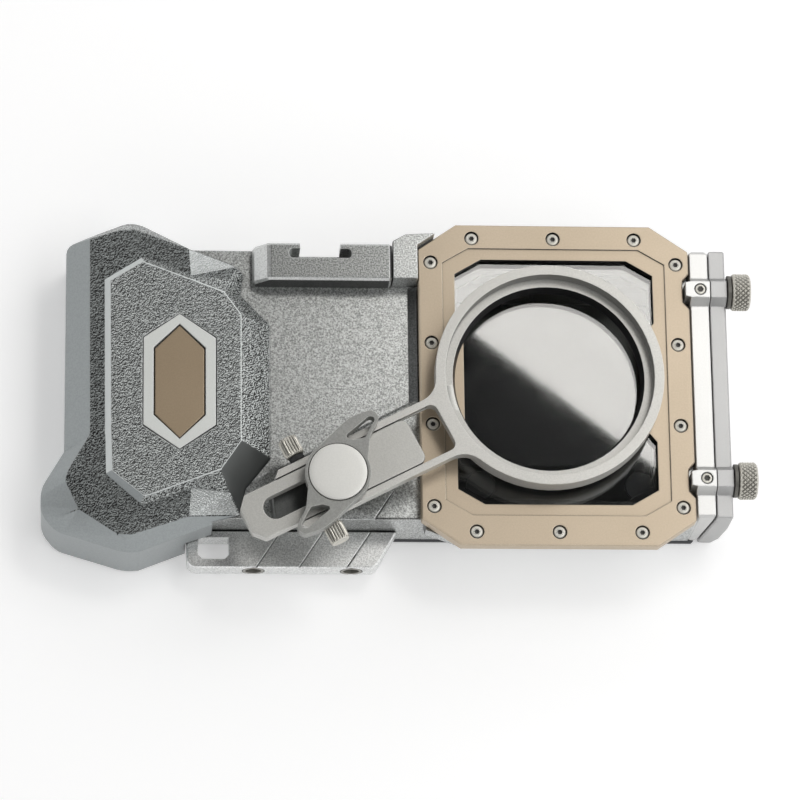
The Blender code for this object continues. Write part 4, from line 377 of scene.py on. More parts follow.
finishLooks = {
    "bodyMetal": {
        "color": (0.74, 0.757, 0.745), "shade": (0.66, 0.677, 0.665), "worn": (0.85, 0.86, 0.85),
        "dark": 0.38, "metallic": 0.8, "roughness": (0.28, 0.36), "grainDepth": 0.000016,
        "second": {"color": (0.62, 0.62, 0.61), "shade": (0.58, 0.58, 0.57), "dark": 0.95,
                   "roughness": (0.34, 0.42), "grainShare": 0.3, "grime": 0.12},
    },
    "railMetal": {
        "color": (0.50, 0.515, 0.505), "shade": (0.45, 0.463, 0.455), "worn": (0.85, 0.86, 0.85),
        "dark": 0.36, "metallic": 0.85, "roughness": (0.28, 0.36), "edgeRadius": 0.0005,
        "second": {"color": (0.86, 0.87, 0.86), "shade": (0.82, 0.83, 0.82), "dark": 0.97,
                   "roughness": (0.22, 0.30), "grainShare": 0.2, "grime": 0.3},
    },
    "blockMetal": {
        "color": (0.14, 0.145, 0.143), "shade": (0.11, 0.114, 0.112), "worn": (0.40, 0.40, 0.39),
        "dark": 0.85, "metallic": 0.8, "roughness": (0.30, 0.38),
    },
    "satinMetal": {
        "color": (0.46, 0.46, 0.457), "shade": (0.43, 0.43, 0.427), "worn": (0.75, 0.75, 0.75),
        "dark": 0.96, "roughness": (0.36, 0.44), "grime": 0.12,
    },
    "armMetal": {
        "color": (0.62, 0.612, 0.58), "shade": (0.58, 0.572, 0.54), "worn": (0.82, 0.81, 0.78),
        "dark": 0.88, "roughness": (0.38, 0.48), "grainScale": 2300.0, "grainDepth": 0.00002,
        "edgeRadius": 0.00035,
    },
    "knobMetal": {
        "color": (0.35, 0.352, 0.335), "shade": (0.32, 0.322, 0.307), "worn": (0.62, 0.62, 0.59),
        "dark": 0.84, "roughness": (0.40, 0.50), "grainScale": 1800.0, "grainDepth": 0.00003,
    },
    "bronzeMetal": {
        "color": (0.56, 0.465, 0.35), "shade": (0.52, 0.43, 0.32), "worn": (0.80, 0.72, 0.60),
        "dark": 0.93, "roughness": (0.38, 0.46), "grainDepth": 0.000014,
    },
    "screwMetal": {
        "color": (0.95, 0.92, 0.83), "shade": (0.90, 0.87, 0.78), "worn": (0.98, 0.96, 0.90),
        "dark": 0.95, "metallic": 0.15, "roughness": (0.30, 0.40), "grainScale": 2400.0,
        "grainDepth": 0.000006, "edgeRadius": 0.00012, "grime": 0.4,
        # the dark second colour is painted shade in sockets and grooves
        "second": {"color": (0.10, 0.095, 0.085), "shade": (0.07, 0.066, 0.06), "dark": 0.9,
                   "roughness": (0.4, 0.5)},
    },
    "knurlMetal": {
        "color": (0.66, 0.64, 0.58), "shade": (0.58, 0.56, 0.50), "worn": (0.85, 0.83, 0.78),
        "dark": 0.9, "metallic": 0.75, "roughness": (0.28, 0.38), "grainScale": 2400.0,
        "grainDepth": 0.000006, "edgeRadius": 0.0001, "grime": 0.5,
        # the dark second colour is painted shade in the knurl's grooves
        "second": {"color": (0.24, 0.232, 0.205), "shade": (0.20, 0.193, 0.17), "dark": 0.9,
                   "roughness": (0.4, 0.5)},
    },
    "darkSteel": {
        "color": (0.16, 0.155, 0.14), "shade": (0.12, 0.116, 0.105), "worn": (0.4, 0.39, 0.36),
        "dark": 0.9, "metallic": 0.7, "roughness": (0.35, 0.48), "grainScale": 2400.0,
        "grainDepth": 0.000006, "edgeRadius": 0.0001,
    },
    "blackRubber": {
        "color": (0.022, 0.022, 0.023), "shade": (0.016, 0.016, 0.017), "worn": (0.05, 0.05, 0.05),
        "dark": 0.8, "metallic": 0.0, "roughness": (0.55, 0.8), "grainScale": 2200.0, "grainDepth": 0.00002,
        "edgeRadius": 0.0002,
    },
    "blackPlastic": {
        "color": (0.045, 0.048, 0.052), "shade": (0.038, 0.04, 0.044), "worn": (0.09, 0.09, 0.095),
        "dark": 0.8, "metallic": 0.0, "roughness": (0.42, 0.6), "grainScale": 1800.0, "grainDepth": 0.00003,
        "edgeRadius": 0.0003,
    },
    "cradlePlastic": {
        "color": (0.006, 0.0065, 0.006), "shade": (0.0045, 0.005, 0.0048), "worn": (0.03, 0.032, 0.031),
        "dark": 0.8, "metallic": 0.0, "roughness": (0.6, 0.75), "grainScale": 1800.0,
        "grainDepth": 0.00002, "edgeRadius": 0.0003, "specular": 0.12,
    },
    "touchFilm": {
        "color": (0.007, 0.0074, 0.008), "shade": (0.0055, 0.006, 0.0066), "worn": (0.05, 0.052, 0.055),
        "dark": 0.9, "metallic": 0.0, "roughness": (0.16, 0.24), "grainScale": 300.0,
        "grainDepth": 0.00002, "edgeRadius": 0.0002, "specular": 0.12, "coat": 0.08,
    },
}
# finishes that differ from one above only in tone
finishLooks.update({
    # the tripod plate: the body's metal painted lighter, painted light against the arm's shade
    "plateMetalLit": {**finishLooks["bodyMetal"], "color": (0.95, 0.96, 0.95), "shade": (0.90, 0.91, 0.90),
                   "dark": 0.64},
    "coreMetal": {**finishLooks["bronzeMetal"], "color": (0.40, 0.31, 0.21), "shade": (0.37, 0.285, 0.19),
                  "worn": (0.66, 0.55, 0.42)},
    "barMetal": {**finishLooks["armMetal"], "color": (0.565, 0.56, 0.53), "shade": (0.53, 0.525, 0.495)},
    "insertMetal": {**finishLooks["darkSteel"], "color": (0.42, 0.41, 0.38), "shade": (0.38, 0.37, 0.34)},
    "badgeMetal": {**finishLooks["satinMetal"], "color": (0.78, 0.80, 0.77), "shade": (0.74, 0.76, 0.73),
                   "metallic": 0.35, "roughness": (0.40, 0.48)},
})
finishes = {name: metalFinish(name, look) for name, look in finishLooks.items()}


# grip moulding

gripLook = {
    # painted light: the light and ridge colours; painted shade: the hollow, crease and crevice colours
    "top": (0.65, 0.68, 0.668), "deep": (0.335, 0.357, 0.352), "pale": (0.67, 0.697, 0.69), "embossShade": 0.03,
    "litCalm": 0.45, "pebbleScale": 2450.0, "stretch": (1.0, 0.86, 1.0), "topRoughness": 0.26,
    "side": (0.35, 0.375, 0.38), "sideShade": (0.31, 0.333, 0.338), "ridge": (0.66, 0.69, 0.685),
    "hollow": (0.085, 0.09, 0.088), "sideGrain": 1700.0, "sideRelief": 0.12, "sideRoughness": 0.42,
    "worn": (0.80, 0.82, 0.81), "metallic": 0.45, "grime": 0.6, "creviceShadeColor": (0.02, 0.021, 0.021),
    # lengths in metres: the leather's depth, the worn edges' radius and how far crevices reach
    "depth": 0.00018, "edgeRadius": 0.0008, "creviceReach": 0.0014, "breakup": 500.0,
}


def gripFinish(look):
    # leather-like moulding where the zone map asks for it, smooth satin paint elsewhere; the map holds the
    # leather's share, its tone from deep to light, and the share of painted light on faces that the light
    # falls on
    finish, tree, shader, coords = newFinish("gripMoulding")
    edges = useGroup(tree, softEdges, coords, {
        "Radius": look["edgeRadius"], "Breakup": look["breakup"], "Reach": look["creviceReach"]})
    pebbles = useGroup(tree, leatherGrain, coords, {
        "Scale": look["pebbleScale"], "Stretch": look["stretch"]})
    grain = useGroup(tree, blastedGrain, coords, {"Grain Scale": look["sideGrain"]})
    leather, tone, pale = zoneParts(tree)
    base = mixColor(tree, tone, look["deep"], look["top"])
    # painted light on the faces that the light falls on
    base = mixColor(tree, pale, base, look["pale"])
    darker = mixColor(tree, 1.0, base, (look["embossShade"],) * 3, "MULTIPLY")
    calm = remap(tree, pale, first=1.0, last=look["litCalm"])
    # painted shade: creases and lower right flanks darken by the crease multiplier
    top = mixColor(tree, calculate(tree, "MULTIPLY", pebbles["EmbossShade"], calm), base, darker)
    # lighter edges, partly wear and partly painted highlight
    top = mixColor(tree, edges["Edge"], top, look["worn"])
    side = mixColor(tree, grain["Fleck"], look["sideShade"], look["side"])
    # painted highlight: lit faces and ridges away from the leather take the ridge colour
    side = mixColor(tree, pale, side, look["ridge"])
    # painted shade: the hollow facet takes a near-black colour
    side = mixColor(tree, tone, look["hollow"], side)
    color = mixColor(tree, leather, side, top)
    # painted shade: crevices darken towards the crevice colour
    grime = calculate(tree, "MULTIPLY", edges["Crevice"], look["grime"])
    color = mixColor(tree, grime, color, look["creviceShadeColor"])
    skin = calculate(tree, "MULTIPLY", grain["Height"], look["sideRelief"])
    height = mixValue(tree, leather, skin, pebbles["Height"])
    fillInputs(tree, shader, {
        "Base Color": color, "Metallic": look["metallic"],
        "Roughness": remap(tree, leather, first=look["sideRoughness"], last=look["topRoughness"]),
        "Normal": bumped(tree, height, look["depth"], edges["Normal"])})
    return finish


finishes["gripMoulding"] = gripFinish(gripLook)


# window glass

glassLook = {"color": (0.94, 0.96, 0.95, 1.0), "ior": 1.7, "haze": (0.022, 0.034), "dustScale": 90.0}


def glassFinish(look):
    # clear glass, its faint dust only in the roughness
    finish, tree, shader, coords = newFinish("rearGlass")
    dust = noise(tree, coords, look["dustScale"], 4.0)
    fillInputs(tree, shader, {
        "Transmission Weight": 1.0, "Base Color": look["color"], "IOR": look["ior"],
        "Roughness": remap(tree, dust, 0.4, 0.8, *look["haze"])})
    return finish


finishes["rearGlass"] = glassFinish(glassLook)
print("finishes ready", len(finishes))


# mesh helpers

bodyOf = {node: body for body, nodes in frame["record"]["behaviour"]["bodies"].items() for node in nodes}


def finishPiece(piece, finish, node):
    # one material, the body that carries the CAD node, and the node itself hidden
    piece.data.materials.clear()
    piece.data.materials.append(finishes[finish])
    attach(piece, bodyOf[node])
    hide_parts(node)
    return piece


def boxOf(node):
    # a node's low and high corner and their middle, in metres
    low, high = (np.array(corner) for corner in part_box(node))
    return low, high, (low + high) / 2


def smooth(piece, angle):
    piece.data.shade_smooth()
    piece.data.set_sharp_from_angle(angle=math.radians(angle))
    return piece


def joinFlatFaces(bm):
    limit = math.radians(0.5)
    bmesh.ops.dissolve_limit(bm, angle_limit=limit, verts=bm.verts, edges=bm.edges, delimit=set())


def weldedCopy(node, name, smoothAngle=14.0):
    # the CAD node's own shape with its corners welded and its flat faces joined
    mesh = frame["nodes"][node].data.copy()
    mesh.name = name
    bm = bmesh.new()
    bm.from_mesh(mesh)
    bmesh.ops.remove_doubles(bm, verts=bm.verts, dist=2e-6)
    joinFlatFaces(bm)
    bm.normal_update()
    bm.to_mesh(mesh)
    bm.free()
    return smooth(addObject(name, mesh), smoothAngle)


def outward(piece):
    bm = bmesh.new()
    bm.from_mesh(piece.data)
    bmesh.ops.remove_doubles(bm, verts=bm.verts, dist=1e-7)
    bmesh.ops.recalc_face_normals(bm, faces=bm.faces)
    bm.to_mesh(piece.data)
    bm.free()
    return piece


def spun(name, rows, columns, foot, direction):
    # each row is a radius and a height in millimetres, a plain number or one for each column:
    # point = foot + radius x (cos a x u + sin a x v) + height x w, where a is the column's angle, w the
    # direction, and u and v are unit vectors square to it
    w = np.array(direction, float)
    w /= np.linalg.norm(w)
    helper = np.array([0.0, 0.0, 1.0]) if abs(w[2]) < 0.9 else np.array([1.0, 0.0, 0.0])
    u = np.cross(helper, w)
    u /= np.linalg.norm(u)
    turn = np.linspace(0.0, 2 * np.pi, columns, endpoint=False)[:, None]
    circle = np.cos(turn) * u + np.sin(turn) * np.cross(w, u)
    radius, height = (np.stack([np.broadcast_to(value, columns) for value in values])[..., None] * mm
                      for values in zip(*rows))
    points = foot + radius * circle + height * w
    index = np.arange(len(rows) * columns).reshape(len(rows), columns)
    following = np.roll(index, -1, axis=1)
    quads = np.stack([index[:-1], following[:-1], following[1:], index[1:]], axis=-1).reshape(-1, 4)
    # the first and the last ring are closed by a flat face each
    faces = quads.tolist() + [index[0, ::-1].tolist(), index[-1].tolist()]
    mesh = bpy.data.meshes.new(name)
    mesh.from_pydata(points.reshape(-1, 3).tolist(), [], faces)
    mesh.update()
    return addObject(name, mesh)


def faceValues(piece):
    # every face's normal, and its middle in millimetres from the window's centre
    count = len(piece.data.polygons)
    normal, centre = np.empty(count * 3, np.float32), np.empty(count * 3, np.float32)
    piece.data.polygons.foreach_get("normal", normal)
    piece.data.polygons.foreach_get("center", centre)
    return normal.reshape(-1, 3), centre.reshape(-1, 3) / mm - toPart


def cornerPlaces(piece):
    points = np.empty(len(piece.data.vertices) * 3, np.float32)
    piece.data.vertices.foreach_get("co", points)
    return points.reshape(-1, 3)


def layZone(piece, *parts):
    # the zone map, one vector for each face, from up to three parts
    zone = np.zeros((len(piece.data.polygons), 3), np.float32)
    for column, part in enumerate(parts):
        zone[:, column] = part
    piece.data.attributes.new("zone", "FLOAT_VECTOR", "FACE").data.foreach_set("vector", zone.ravel())


# pieces that keep the CAD shape

keptLooks = {
    "body_shell": "bodyMetal", "shoe_rail": "railMetal", "tripod_plate": "plateMetalLit",
    "rear_window_frame": "bronzeMetal", "end_cap": "satinMetal", "arm_mount_block": "blockMetal",
    "guide_bar": "barMetal", "filter_arm": "armMetal", "wing_knob": "knobMetal", "slot_bush": "armMetal",
    "badge_rim": "badgeMetal", "badge_core": "coreMetal", "rear_window_glass": "rearGlass",
    "rear_window_gasket": "blackRubber", "touch_membrane_gasket": "blackRubber",
    "end_cap_seal": "blackRubber", "touch_membrane": "touchFilm", "front_bezel": "blackPlastic",
    "phone_cradle": "cradlePlastic",
    "cradle_pad_1": "blackRubber", "cradle_pad_2": "blackRubber", "cradle_pad_3": "blackRubber",
    "pivot_stud": "screwMetal", "knob_washer": "blackRubber", "thumbscrew_washer_upper": "darkSteel",
    "thumbscrew_washer_lower": "darkSteel", "clamp_washer_upper": "blackRubber",
    "clamp_washer_lower": "blackRubber", "tripod_insert_1": "insertMetal", "tripod_insert_2": "insertMetal",
}
smoothAngles = {"filter_arm": 20.0, "rear_window_frame": 4.0, "pivot_stud": 30.0, "tripod_insert_1": 30.0,
                "tripod_insert_2": 30.0, "end_cap_seal": 30.0}

# the zone rules' dictionaries are in millimetres from the window's centre, and their rises and turns are
# parts of a face's unit normal
bodyLook = {
    # bright: the flange's width, the noses of its bosses from x and z on, the chamfer below y and above z
    "flange": 6.6, "nose": (41.5, 26.0), "chamfer": (-40.0, 24.0), "slant": 0.3,
    # deep, as painted shade: the walls of the bay and of the window's opening, both above the floor, and
    # partly the cove
    "middle": 1.0, "floor": 1.7,
    "bay": {"end": -116.0, "half": 39.7, "top": 21.9},
    "window": {"half": (41.0, 44.2), "ledge": 25.6, "ledgeRise": 0.9},
    "cove": {"from": -62.0, "to": -40.0, "above": 21.0, "turn": -0.25, "tone": 0.85},
}


def bodyZones(normal, spot):
    # the end flange is machined bright; the bay's inner walls and the cove beside the frame get the deep tone
    # as painted shade
    x, y, z = spot.T
    look, bay, window, cove = bodyLook, bodyLook["bay"], bodyLook["window"], bodyLook["cove"]
    flangeFrom = boxOf("body_shell")[1][0] / mm - toPart[0] - look["flange"]
    bright = (x > flangeFrom) | ((x > look["nose"][0]) & (z > look["nose"][1]))
    slanted = (normal[:, 1] < -look["slant"]) & (normal[:, 2] > look["slant"])
    bright |= slanted & (y < look["chamfer"][0]) & (z > look["chamfer"][1])
    height = np.abs(y - look["middle"])
    ledge = (normal[:, 2] > window["ledgeRise"]) & (z > window["ledge"])
    inside = (height < bay["half"]) & (z < bay["top"]) & (x > bay["end"])
    inside |= (np.abs(x) < window["half"][0]) & (height < window["half"][1]) & ~ledge
    inside &= z > look["floor"]
    shaded = (x < cove["to"]) & (x > cove["from"]) & (z > cove["above"]) & (normal[:, 0] < cove["turn"])
    return bright & ~inside, np.where(inside, 1.0, np.where(shaded, cove["tone"], 0.0))


railLook = {"wall": 4.0, "wallTurn": -0.8, "wallTone": 0.8, "bevelRise": (0.3, 0.95), "bevelShare": 0.5,
            "endTurn": -0.3, "endShare": 0.3}


def railZones(normal, spot):
    # the rail's wall that faces the body gets the deep tone as painted shade, its bevels and slanted end are
    # partly machined bright
    look, rise = railLook, np.abs(normal[:, 2])
    wallTo = boxOf("shoe_rail")[0][1] / mm - toPart[1] + look["wall"]
    wall = (normal[:, 1] < look["wallTurn"]) & (spot[:, 1] < wallTo)
    bevel = (rise > look["bevelRise"][0]) & (rise < look["bevelRise"][1])
    bright = np.where(normal[:, 0] < look["endTurn"], look["endShare"], 0.0)
    return np.where(bevel, look["bevelShare"], bright), look["wallTone"] * wall


frameLook = {"half": (41.5, 51.5), "wallRise": 0.5}


def frameZones(normal, spot):
    # walls that face the window get the deep tone as painted shade
    inward = (normal[:, :2] * spot[:, :2]).sum(axis=1) < 0
    near = (np.abs(spot[:, :2]) < frameLook["half"]).all(axis=1)
    return 0.0, inward & near & (np.abs(normal[:, 2]) < frameLook["wallRise"])


# walls within these radii belong to the bore and to the thread; the lip's flat lies between two radii and
# between two depths below the rim
ringLook = {"middle": (-2.95, 0.18), "bore": 31.8, "thread": 34.0, "threadTone": 0.6, "lip": (30.0, 34.0),
            "lipDepth": (1.2, 2.6), "sink": 3.0, "wallRise": 0.6}


def ringRadius(spot):
    return np.hypot(*(spot[:, :2] - np.array(ringLook["middle"])).T)


def armZones(normal, spot):
    # the ring's bore is black and its thread wall dark
    radius = ringRadius(spot)
    tone = np.where(radius < ringLook["thread"], ringLook["threadTone"], 0.0)
    tone[radius < ringLook["bore"]] = 1.0
    return 0.0, tone * (np.abs(normal[:, 2]) < ringLook["wallRise"])


def filmZones(normal, spot):
    # the membrane is glossy outside, where it faces down, and matt inside
    return (normal[:, 2] < -0.5,)


zoneRules = {"body_shell": bodyZones, "shoe_rail": railZones, "rear_window_frame": frameZones,
             "filter_arm": armZones, "touch_membrane": filmZones}


def sinkLip(piece, look):
    # the ring's lip lies deeper under its thread, so the points of its flat go down by a fixed amount
    points = cornerPlaces(piece)
    radius = ringRadius(points / mm - toPart)
    depth = (points[:, 2].max() - points[:, 2]) / mm
    flat = (radius > look["lip"][0]) & (radius < look["lip"][1])
    flat &= (depth > look["lipDepth"][0]) & (depth < look["lipDepth"][1])
    points[flat, 2] -= look["sink"] * mm
    piece.data.vertices.foreach_set("co", points.ravel())
    piece.data.update()
    print("lip points", int(flat.sum()))


# the bevels beside the flange's joint: side, width in the CAD, width here
bevelLook = {"top": 30.0, "slack": 0.03, "body_shell": ((44.2, 1.0, 0.4), (50.4, 1.0, 0.2)),
             "end_cap": ((50.7, 0.45, 0.2),)}


def tightenBevels(piece, node, look):
    # moves the two lines of points that bound each bevel towards its corner
    spot = cornerPlaces(piece) / mm - toPart
    top, slack = look["top"], look["slack"]
    x, z = spot[:, 0].copy(), spot[:, 2].copy()
    for side, wide, fine in look[node]:
        away = x - side
        onTop = (np.abs(z - top) < slack) & (np.abs(np.abs(away) - wide) < slack)
        onSide = (np.abs(top - z - wide) < slack) & (np.abs(away) < slack)
        spot[onTop, 0] = side + np.sign(away[onTop]) * fine
        spot[onSide, 2] = top - fine
        print("bevel points", node, side, int(onTop.sum()), int(onSide.sum()))
    piece.data.vertices.foreach_set("co", ((spot + toPart) * mm).astype(np.float32).ravel())
    piece.data.update()


def pieceName(node):
    first, *rest = node.split("_")
    return first + "".join(word.capitalize() for word in rest)


for node, finish in keptLooks.items():
    piece = weldedCopy(node, pieceName(node), smoothAngles.get(node, 14.0))
    if node in bevelLook:
        tightenBevels(piece, node, bevelLook)
    if node == "filter_arm":
        sinkLip(piece, ringLook)
    if node in zoneRules:
        layZone(piece, *zoneRules[node](*faceValues(piece)))
    finishPiece(piece, finish, node)
print("carried-over pieces", len(keptLooks))


# grip

gripShape = {
    "cornerRadius": 2.4, "ridgeRadius": 0.5, "badgeRoom": 1.0,
    # edges are rounded where their faces turn by more than these angles, ridges beside a face that rises
    "creaseAngle": 6.0, "ridgeAngle": 16.0, "cornerAngle": 18.0, "ridgeRise": 0.2,
    # above this height, steps finer than this are merged first
    "upperFrom": 23.6, "tinyStep": 0.7,
    # the free outline lies left of this place, with corners taller than this; its slope rises between two
    # heights, and the ridge at one place stays sharp; places are seen from the part's origin
    "outlineTo": -80.0, "tall": 20.0, "slope": (24.0, 30.0), "slopeSlack": 0.3, "sharpAt": -98.9,
    "sharpSlack": 0.5, "ridgesFrom": 23.9,
}

# heights and places in millimetres from the window's centre, rises and turns as parts of the unit normal
gripZones = {
    "leatherFrom": 24.2, "leatherRise": 0.35,
    "rimTop": 29.4, "rimTo": (-112.0, -44.0), "rimTurn": (-0.35, -0.25),
    "ledge": 30.2, "panel": 32.0, "flatRise": 0.985, "panelTone": 0.8, "slopeTone": 0.75, "slopeFrom": -106.0,
    "hollow": {"from": -107.0, "high": -20.0, "low": -39.0, "rise": 0.95},
    "litBlocks": {"from": -119.0, "to": -104.0, "beyond": 34.0, "rise": 0.88},
    "step": {"foot": 30.1, "top": 32.15, "rise": 0.97, "turn": -0.2, "litFrom": -30.0},
    "crest": {"above": 31.2, "to": -100.0},
}


def roundGrip(piece, look):
    # rounds the outline's free corners and the upper ridges, and marks the ridges' new faces
    bm = bmesh.new()
    bm.from_mesh(piece.data)
    low, high, _ = boxOf("badge_rim")
    room = look["badgeRoom"] * mm

    def byBadge(p):
        return low[0] - room < p.x < high[0] + room and low[1] - room < p.y < high[1] + room

    def rounded(edges, radius, segments):
        return bmesh.ops.bevel(bm, geom=edges, offset=radius * mm, offset_type="OFFSET", segments=segments,
                               profile=0.5, affect="EDGES", clamp_overlap=True, loop_slide=True)["faces"]

    def angleOf(edge):
        return math.degrees(edge.calc_face_angle(0.0))

    def sharpEdges(chosen):
        bm.normal_update()
        return [edge for edge in bm.edges
                if len(edge.link_faces) == 2 and angleOf(edge) > look["creaseAngle"]
                and not byBadge((edge.verts[0].co + edge.verts[1].co) / 2) and chosen(edge)]

    def onCorner(edge):
        # upright corners of the free outline, and the ridges that lead on from them over the outer slope
        if not edge.is_convex or angleOf(edge) < look["cornerAngle"]:
            return False
        ends = [vert.co / mm for vert in edge.verts]
        foot, top = sorted(p.z for p in ends)
        slopeFoot, slopeTop = look["slope"]
        onSlope = max(abs(foot - slopeFoot), abs(top - slopeTop)) < look["slopeSlack"]
        keptSharp = min(abs(p.x - look["sharpAt"]) for p in ends) <= look["sharpSlack"]
        onOutline = max(p.x for p in ends) <= look["outlineTo"]
        return onOutline and (top - foot > look["tall"] or (onSlope and not keptSharp))

    def onTop(edge):
        return (min(vert.co.z for vert in edge.verts) > look["ridgesFrom"] * mm
                and max(face.normal.z for face in edge.link_faces) > look["ridgeRise"]
                and angleOf(edge) > look["ridgeAngle"])

    upper = [vert for vert in bm.verts if vert.co.z > look["upperFrom"] * mm and not byBadge(vert.co)]
    bmesh.ops.remove_doubles(bm, verts=upper, dist=look["tinyStep"] * mm)
    joinFlatFaces(bm)
    rounded(sharpEdges(onCorner), look["cornerRadius"], 3)
    ridges = bm.faces.layers.int.new("ridge")
    top = sharpEdges(onTop)
    print("grip ridges", len(top), "shortest", round(min(edge.calc_length() for edge in top) / mm, 2))
    for face in rounded(top, look["ridgeRadius"], 2):
        face[ridges] = 1
    bm.normal_update()
    bm.to_mesh(piece.data)
    bm.free()


def layGripZones(piece, look):
    ridge = np.empty(len(piece.data.polygons), np.int32)
    piece.data.attributes["ridge"].data.foreach_get("value", ridge)
    normal, spot = faceValues(piece)
    x, y, z = spot.T
    across, along, up = normal.T
    hollowAt, blocks, stepAt, crest = (look[key] for key in ("hollow", "litBlocks", "step", "crest"))
    # the outer slope: smooth where it falls to the left or down the picture, leather elsewhere
    upper = (up > look["leatherRise"]) & (z > look["leatherFrom"])
    rim = upper & (z < look["rimTop"]) & ((x < look["rimTo"][0]) | (y < look["rimTo"][1]))
    smoothRim = rim & ((across < look["rimTurn"][0]) | (along < look["rimTurn"][1]))
    leather = np.where(upper & ~smoothRim, 1.0, 0.0)
    # the raised panel is lightest, and slopes lie between it and the low ground
    sloping = up < look["flatRise"]
    tone = np.where(z > look["panel"], 1.0, 0.0)
    tone[sloping & (z > look["ledge"]) & (z < look["panel"])] = look["panelTone"]
    tone[sloping & (x > look["slopeFrom"])] = look["slopeTone"]
    tone[rim & ~smoothRim] = 1.0
    # painted shade on the steep hollow facet beside the panel
    hollow = (x > hollowAt["from"]) & (y < hollowAt["high"]) & (y > hollowAt["low"])
    hollow &= up < hollowAt["rise"]
    tone[hollow] = 0.0
    # painted light: the flat brow and patch at the upper and lower left get the light colour
    pale = (x > blocks["from"]) & (x < blocks["to"]) & (np.abs(y) > blocks["beyond"])
    pale = np.where(pale & (up > blocks["rise"]) & (z < look["ledge"]), 1.0, 0.0)
    # the step round the raised panel is smooth; its left-facing faces and its ridges get painted light
    step = (z > stepAt["foot"]) & (z < stepAt["top"]) & (up < stepAt["rise"]) & (across < stepAt["turn"])
    litRidges = (ridge > 0) & (z > crest["above"]) & (x < crest["to"])
    leather[step | litRidges | hollow] = 0.0
    pale[(step & (y > stepAt["litFrom"])) | litRidges] = 1.0
    tone[(leather < 0.5) & ~hollow] = 1.0
    layZone(piece, leather, tone, pale)


gripShell = weldedCopy("grip_shell", "gripShell")
roundGrip(gripShell, gripShape)
layGripZones(gripShell, gripZones)
finishPiece(smooth(gripShell, 12.0), "gripMoulding", "grip_shell")
print("grip ready")


# screws

screwLook = {
    "headRadius": 2.0, "headHeight": 2.2, "rise": 0.3,
    # the rim's flat, and how far its bevel reaches in and down
    "rimWidth": 0.14, "bevelIn": 0.05, "bevelFrom": 0.12, "bevelTo": 0.3,
    "shankRadius": 1.2, "shankLength": 4.2, "columns": 48,
    # the socket, and the bevel at its mouth as a share outwards and a length down
    "socketRadius": 0.72, "socketDepth": 0.85, "mouth": 1.08, "mouthCut": 0.12,
    # how far out from the mouth the face's rows lie, as shares, and how deep each row of the fine groove is
    "face": ((0.16, 0.0), (0.2, 0.1), (0.27, 0.1), (0.31, 0.0), (0.6, 0.0), (0.8, 0.0), (0.94, 0.0)),
}
bezelScrewLook = {**screwLook, "headHeight": 1.3, "rise": 0.25, "socketDepth": 0.7, "shankLength": 5.0}
gripScrewLook = {**screwLook, "headRadius": 3.0, "headHeight": 1.6, "rise": 0.3, "socketRadius": 1.3,
                 "socketDepth": 0.9, "shankRadius": 1.5, "shankLength": 7.0}
setScrewLook = {**screwLook, "headRadius": 1.65, "headHeight": 0.8, "rise": 0.12, "socketRadius": 0.85,
                "socketDepth": 0.6, "shankRadius": 1.6, "shankLength": 0.15}


def socketScrew(name, node, look, up=True):
    # rows from the socket's floor out over the head, down its side and along the shank; the socket's radius
    # is that of a hexagon, apothem / cos(angle from the nearest flat's middle), and the face falls by the
    # square of the distance from the mouth
    low, high, top = boxOf(node)
    top[2] = high[2] if up else low[2]
    columns = look["columns"]
    turn = np.linspace(0.0, 2 * np.pi, columns, endpoint=False)
    socket = look["socketRadius"] / np.cos((turn + np.pi / 6) % (np.pi / 3) - np.pi / 6)
    depth, head, rise = look["socketDepth"], look["headRadius"], look["rise"]
    mouth = socket * look["mouth"]
    rows = [(0.02, -depth * 1.1), (socket * 0.96, -depth), (socket, -depth * 0.9),
            (socket, -look["mouthCut"]), (mouth, 0.0)]
    socketRows = len(rows) - 1
    reach = head - look["rimWidth"] - mouth
    rows += [(mouth + reach * share, -(rise * share ** 2 + groove)) for share, groove in look["face"]]
    bottom, shank = look["headHeight"], look["shankRadius"]
    rows += [(head - look["bevelIn"], -(rise + look["bevelFrom"])), (head, -(rise + look["bevelTo"])),
             (head, -bottom), (shank, -bottom), (shank, -(bottom + look["shankLength"]))]
    piece = spun(name, rows, columns, top, (0, 0, 1 if up else -1))
    # painted shade: the socket, the groove's floor and the socket's closing face take the dark second colour
    dark = np.zeros(len(piece.data.polygons))
    grooveRow = socketRows + 2
    dark[:socketRows * columns] = 1.0
    dark[grooveRow * columns:(grooveRow + 1) * columns] = 1.0
    dark[-2] = 1.0
    layZone(piece, dark)
    finishPiece(smooth(outward(piece), 40.0), "screwMetal", node)


for number in range(1, 15):
    socketScrew(f"frameScrew_{number:02d}", f"frame_screw_{number:02d}", screwLook)
for number in range(1, 7):
    socketScrew(f"bezelScrew_{number}", f"bezel_screw_{number}", bezelScrewLook, up=False)
for number in (1, 2):
    socketScrew(f"gripScrew_{number}", f"grip_screw_{number}", gripScrewLook, up=False)
for side in ("upper", "lower"):
    socketScrew(f"setScrew_{side}", f"set_screw_{side}", setScrewLook)
print("screws ready")


# knurled heads

# a groove climbs by one rib in each pitch, and straight ribs never do
thumbLook = {"radius": 6.0, "length": 6.0, "ribs": 23, "pitch": 1.65, "depth": 0.5, "sharpness": 1.5,
             "fade": 0.4, "bevel": 0.7, "dish": 0.15, "ribColumns": 8, "rows": 46, "shank": 2.0,
             "threadPitch": 0.8}
clampLook = {**thumbLook, "radius": 3.2, "length": 6.3, "ribs": 20, "pitch": math.inf, "depth": 0.40,
             "sharpness": 1.15, "bevel": 0.5, "ribColumns": 10, "rows": 10, "shank": 1.4, "threadPitch": 0.5,
             "reach": 4.0, "stud": (-71.2, -34.6, 0.0), "armAngle": 27.0, "place": (-8.2, 12.5, 38.95)}


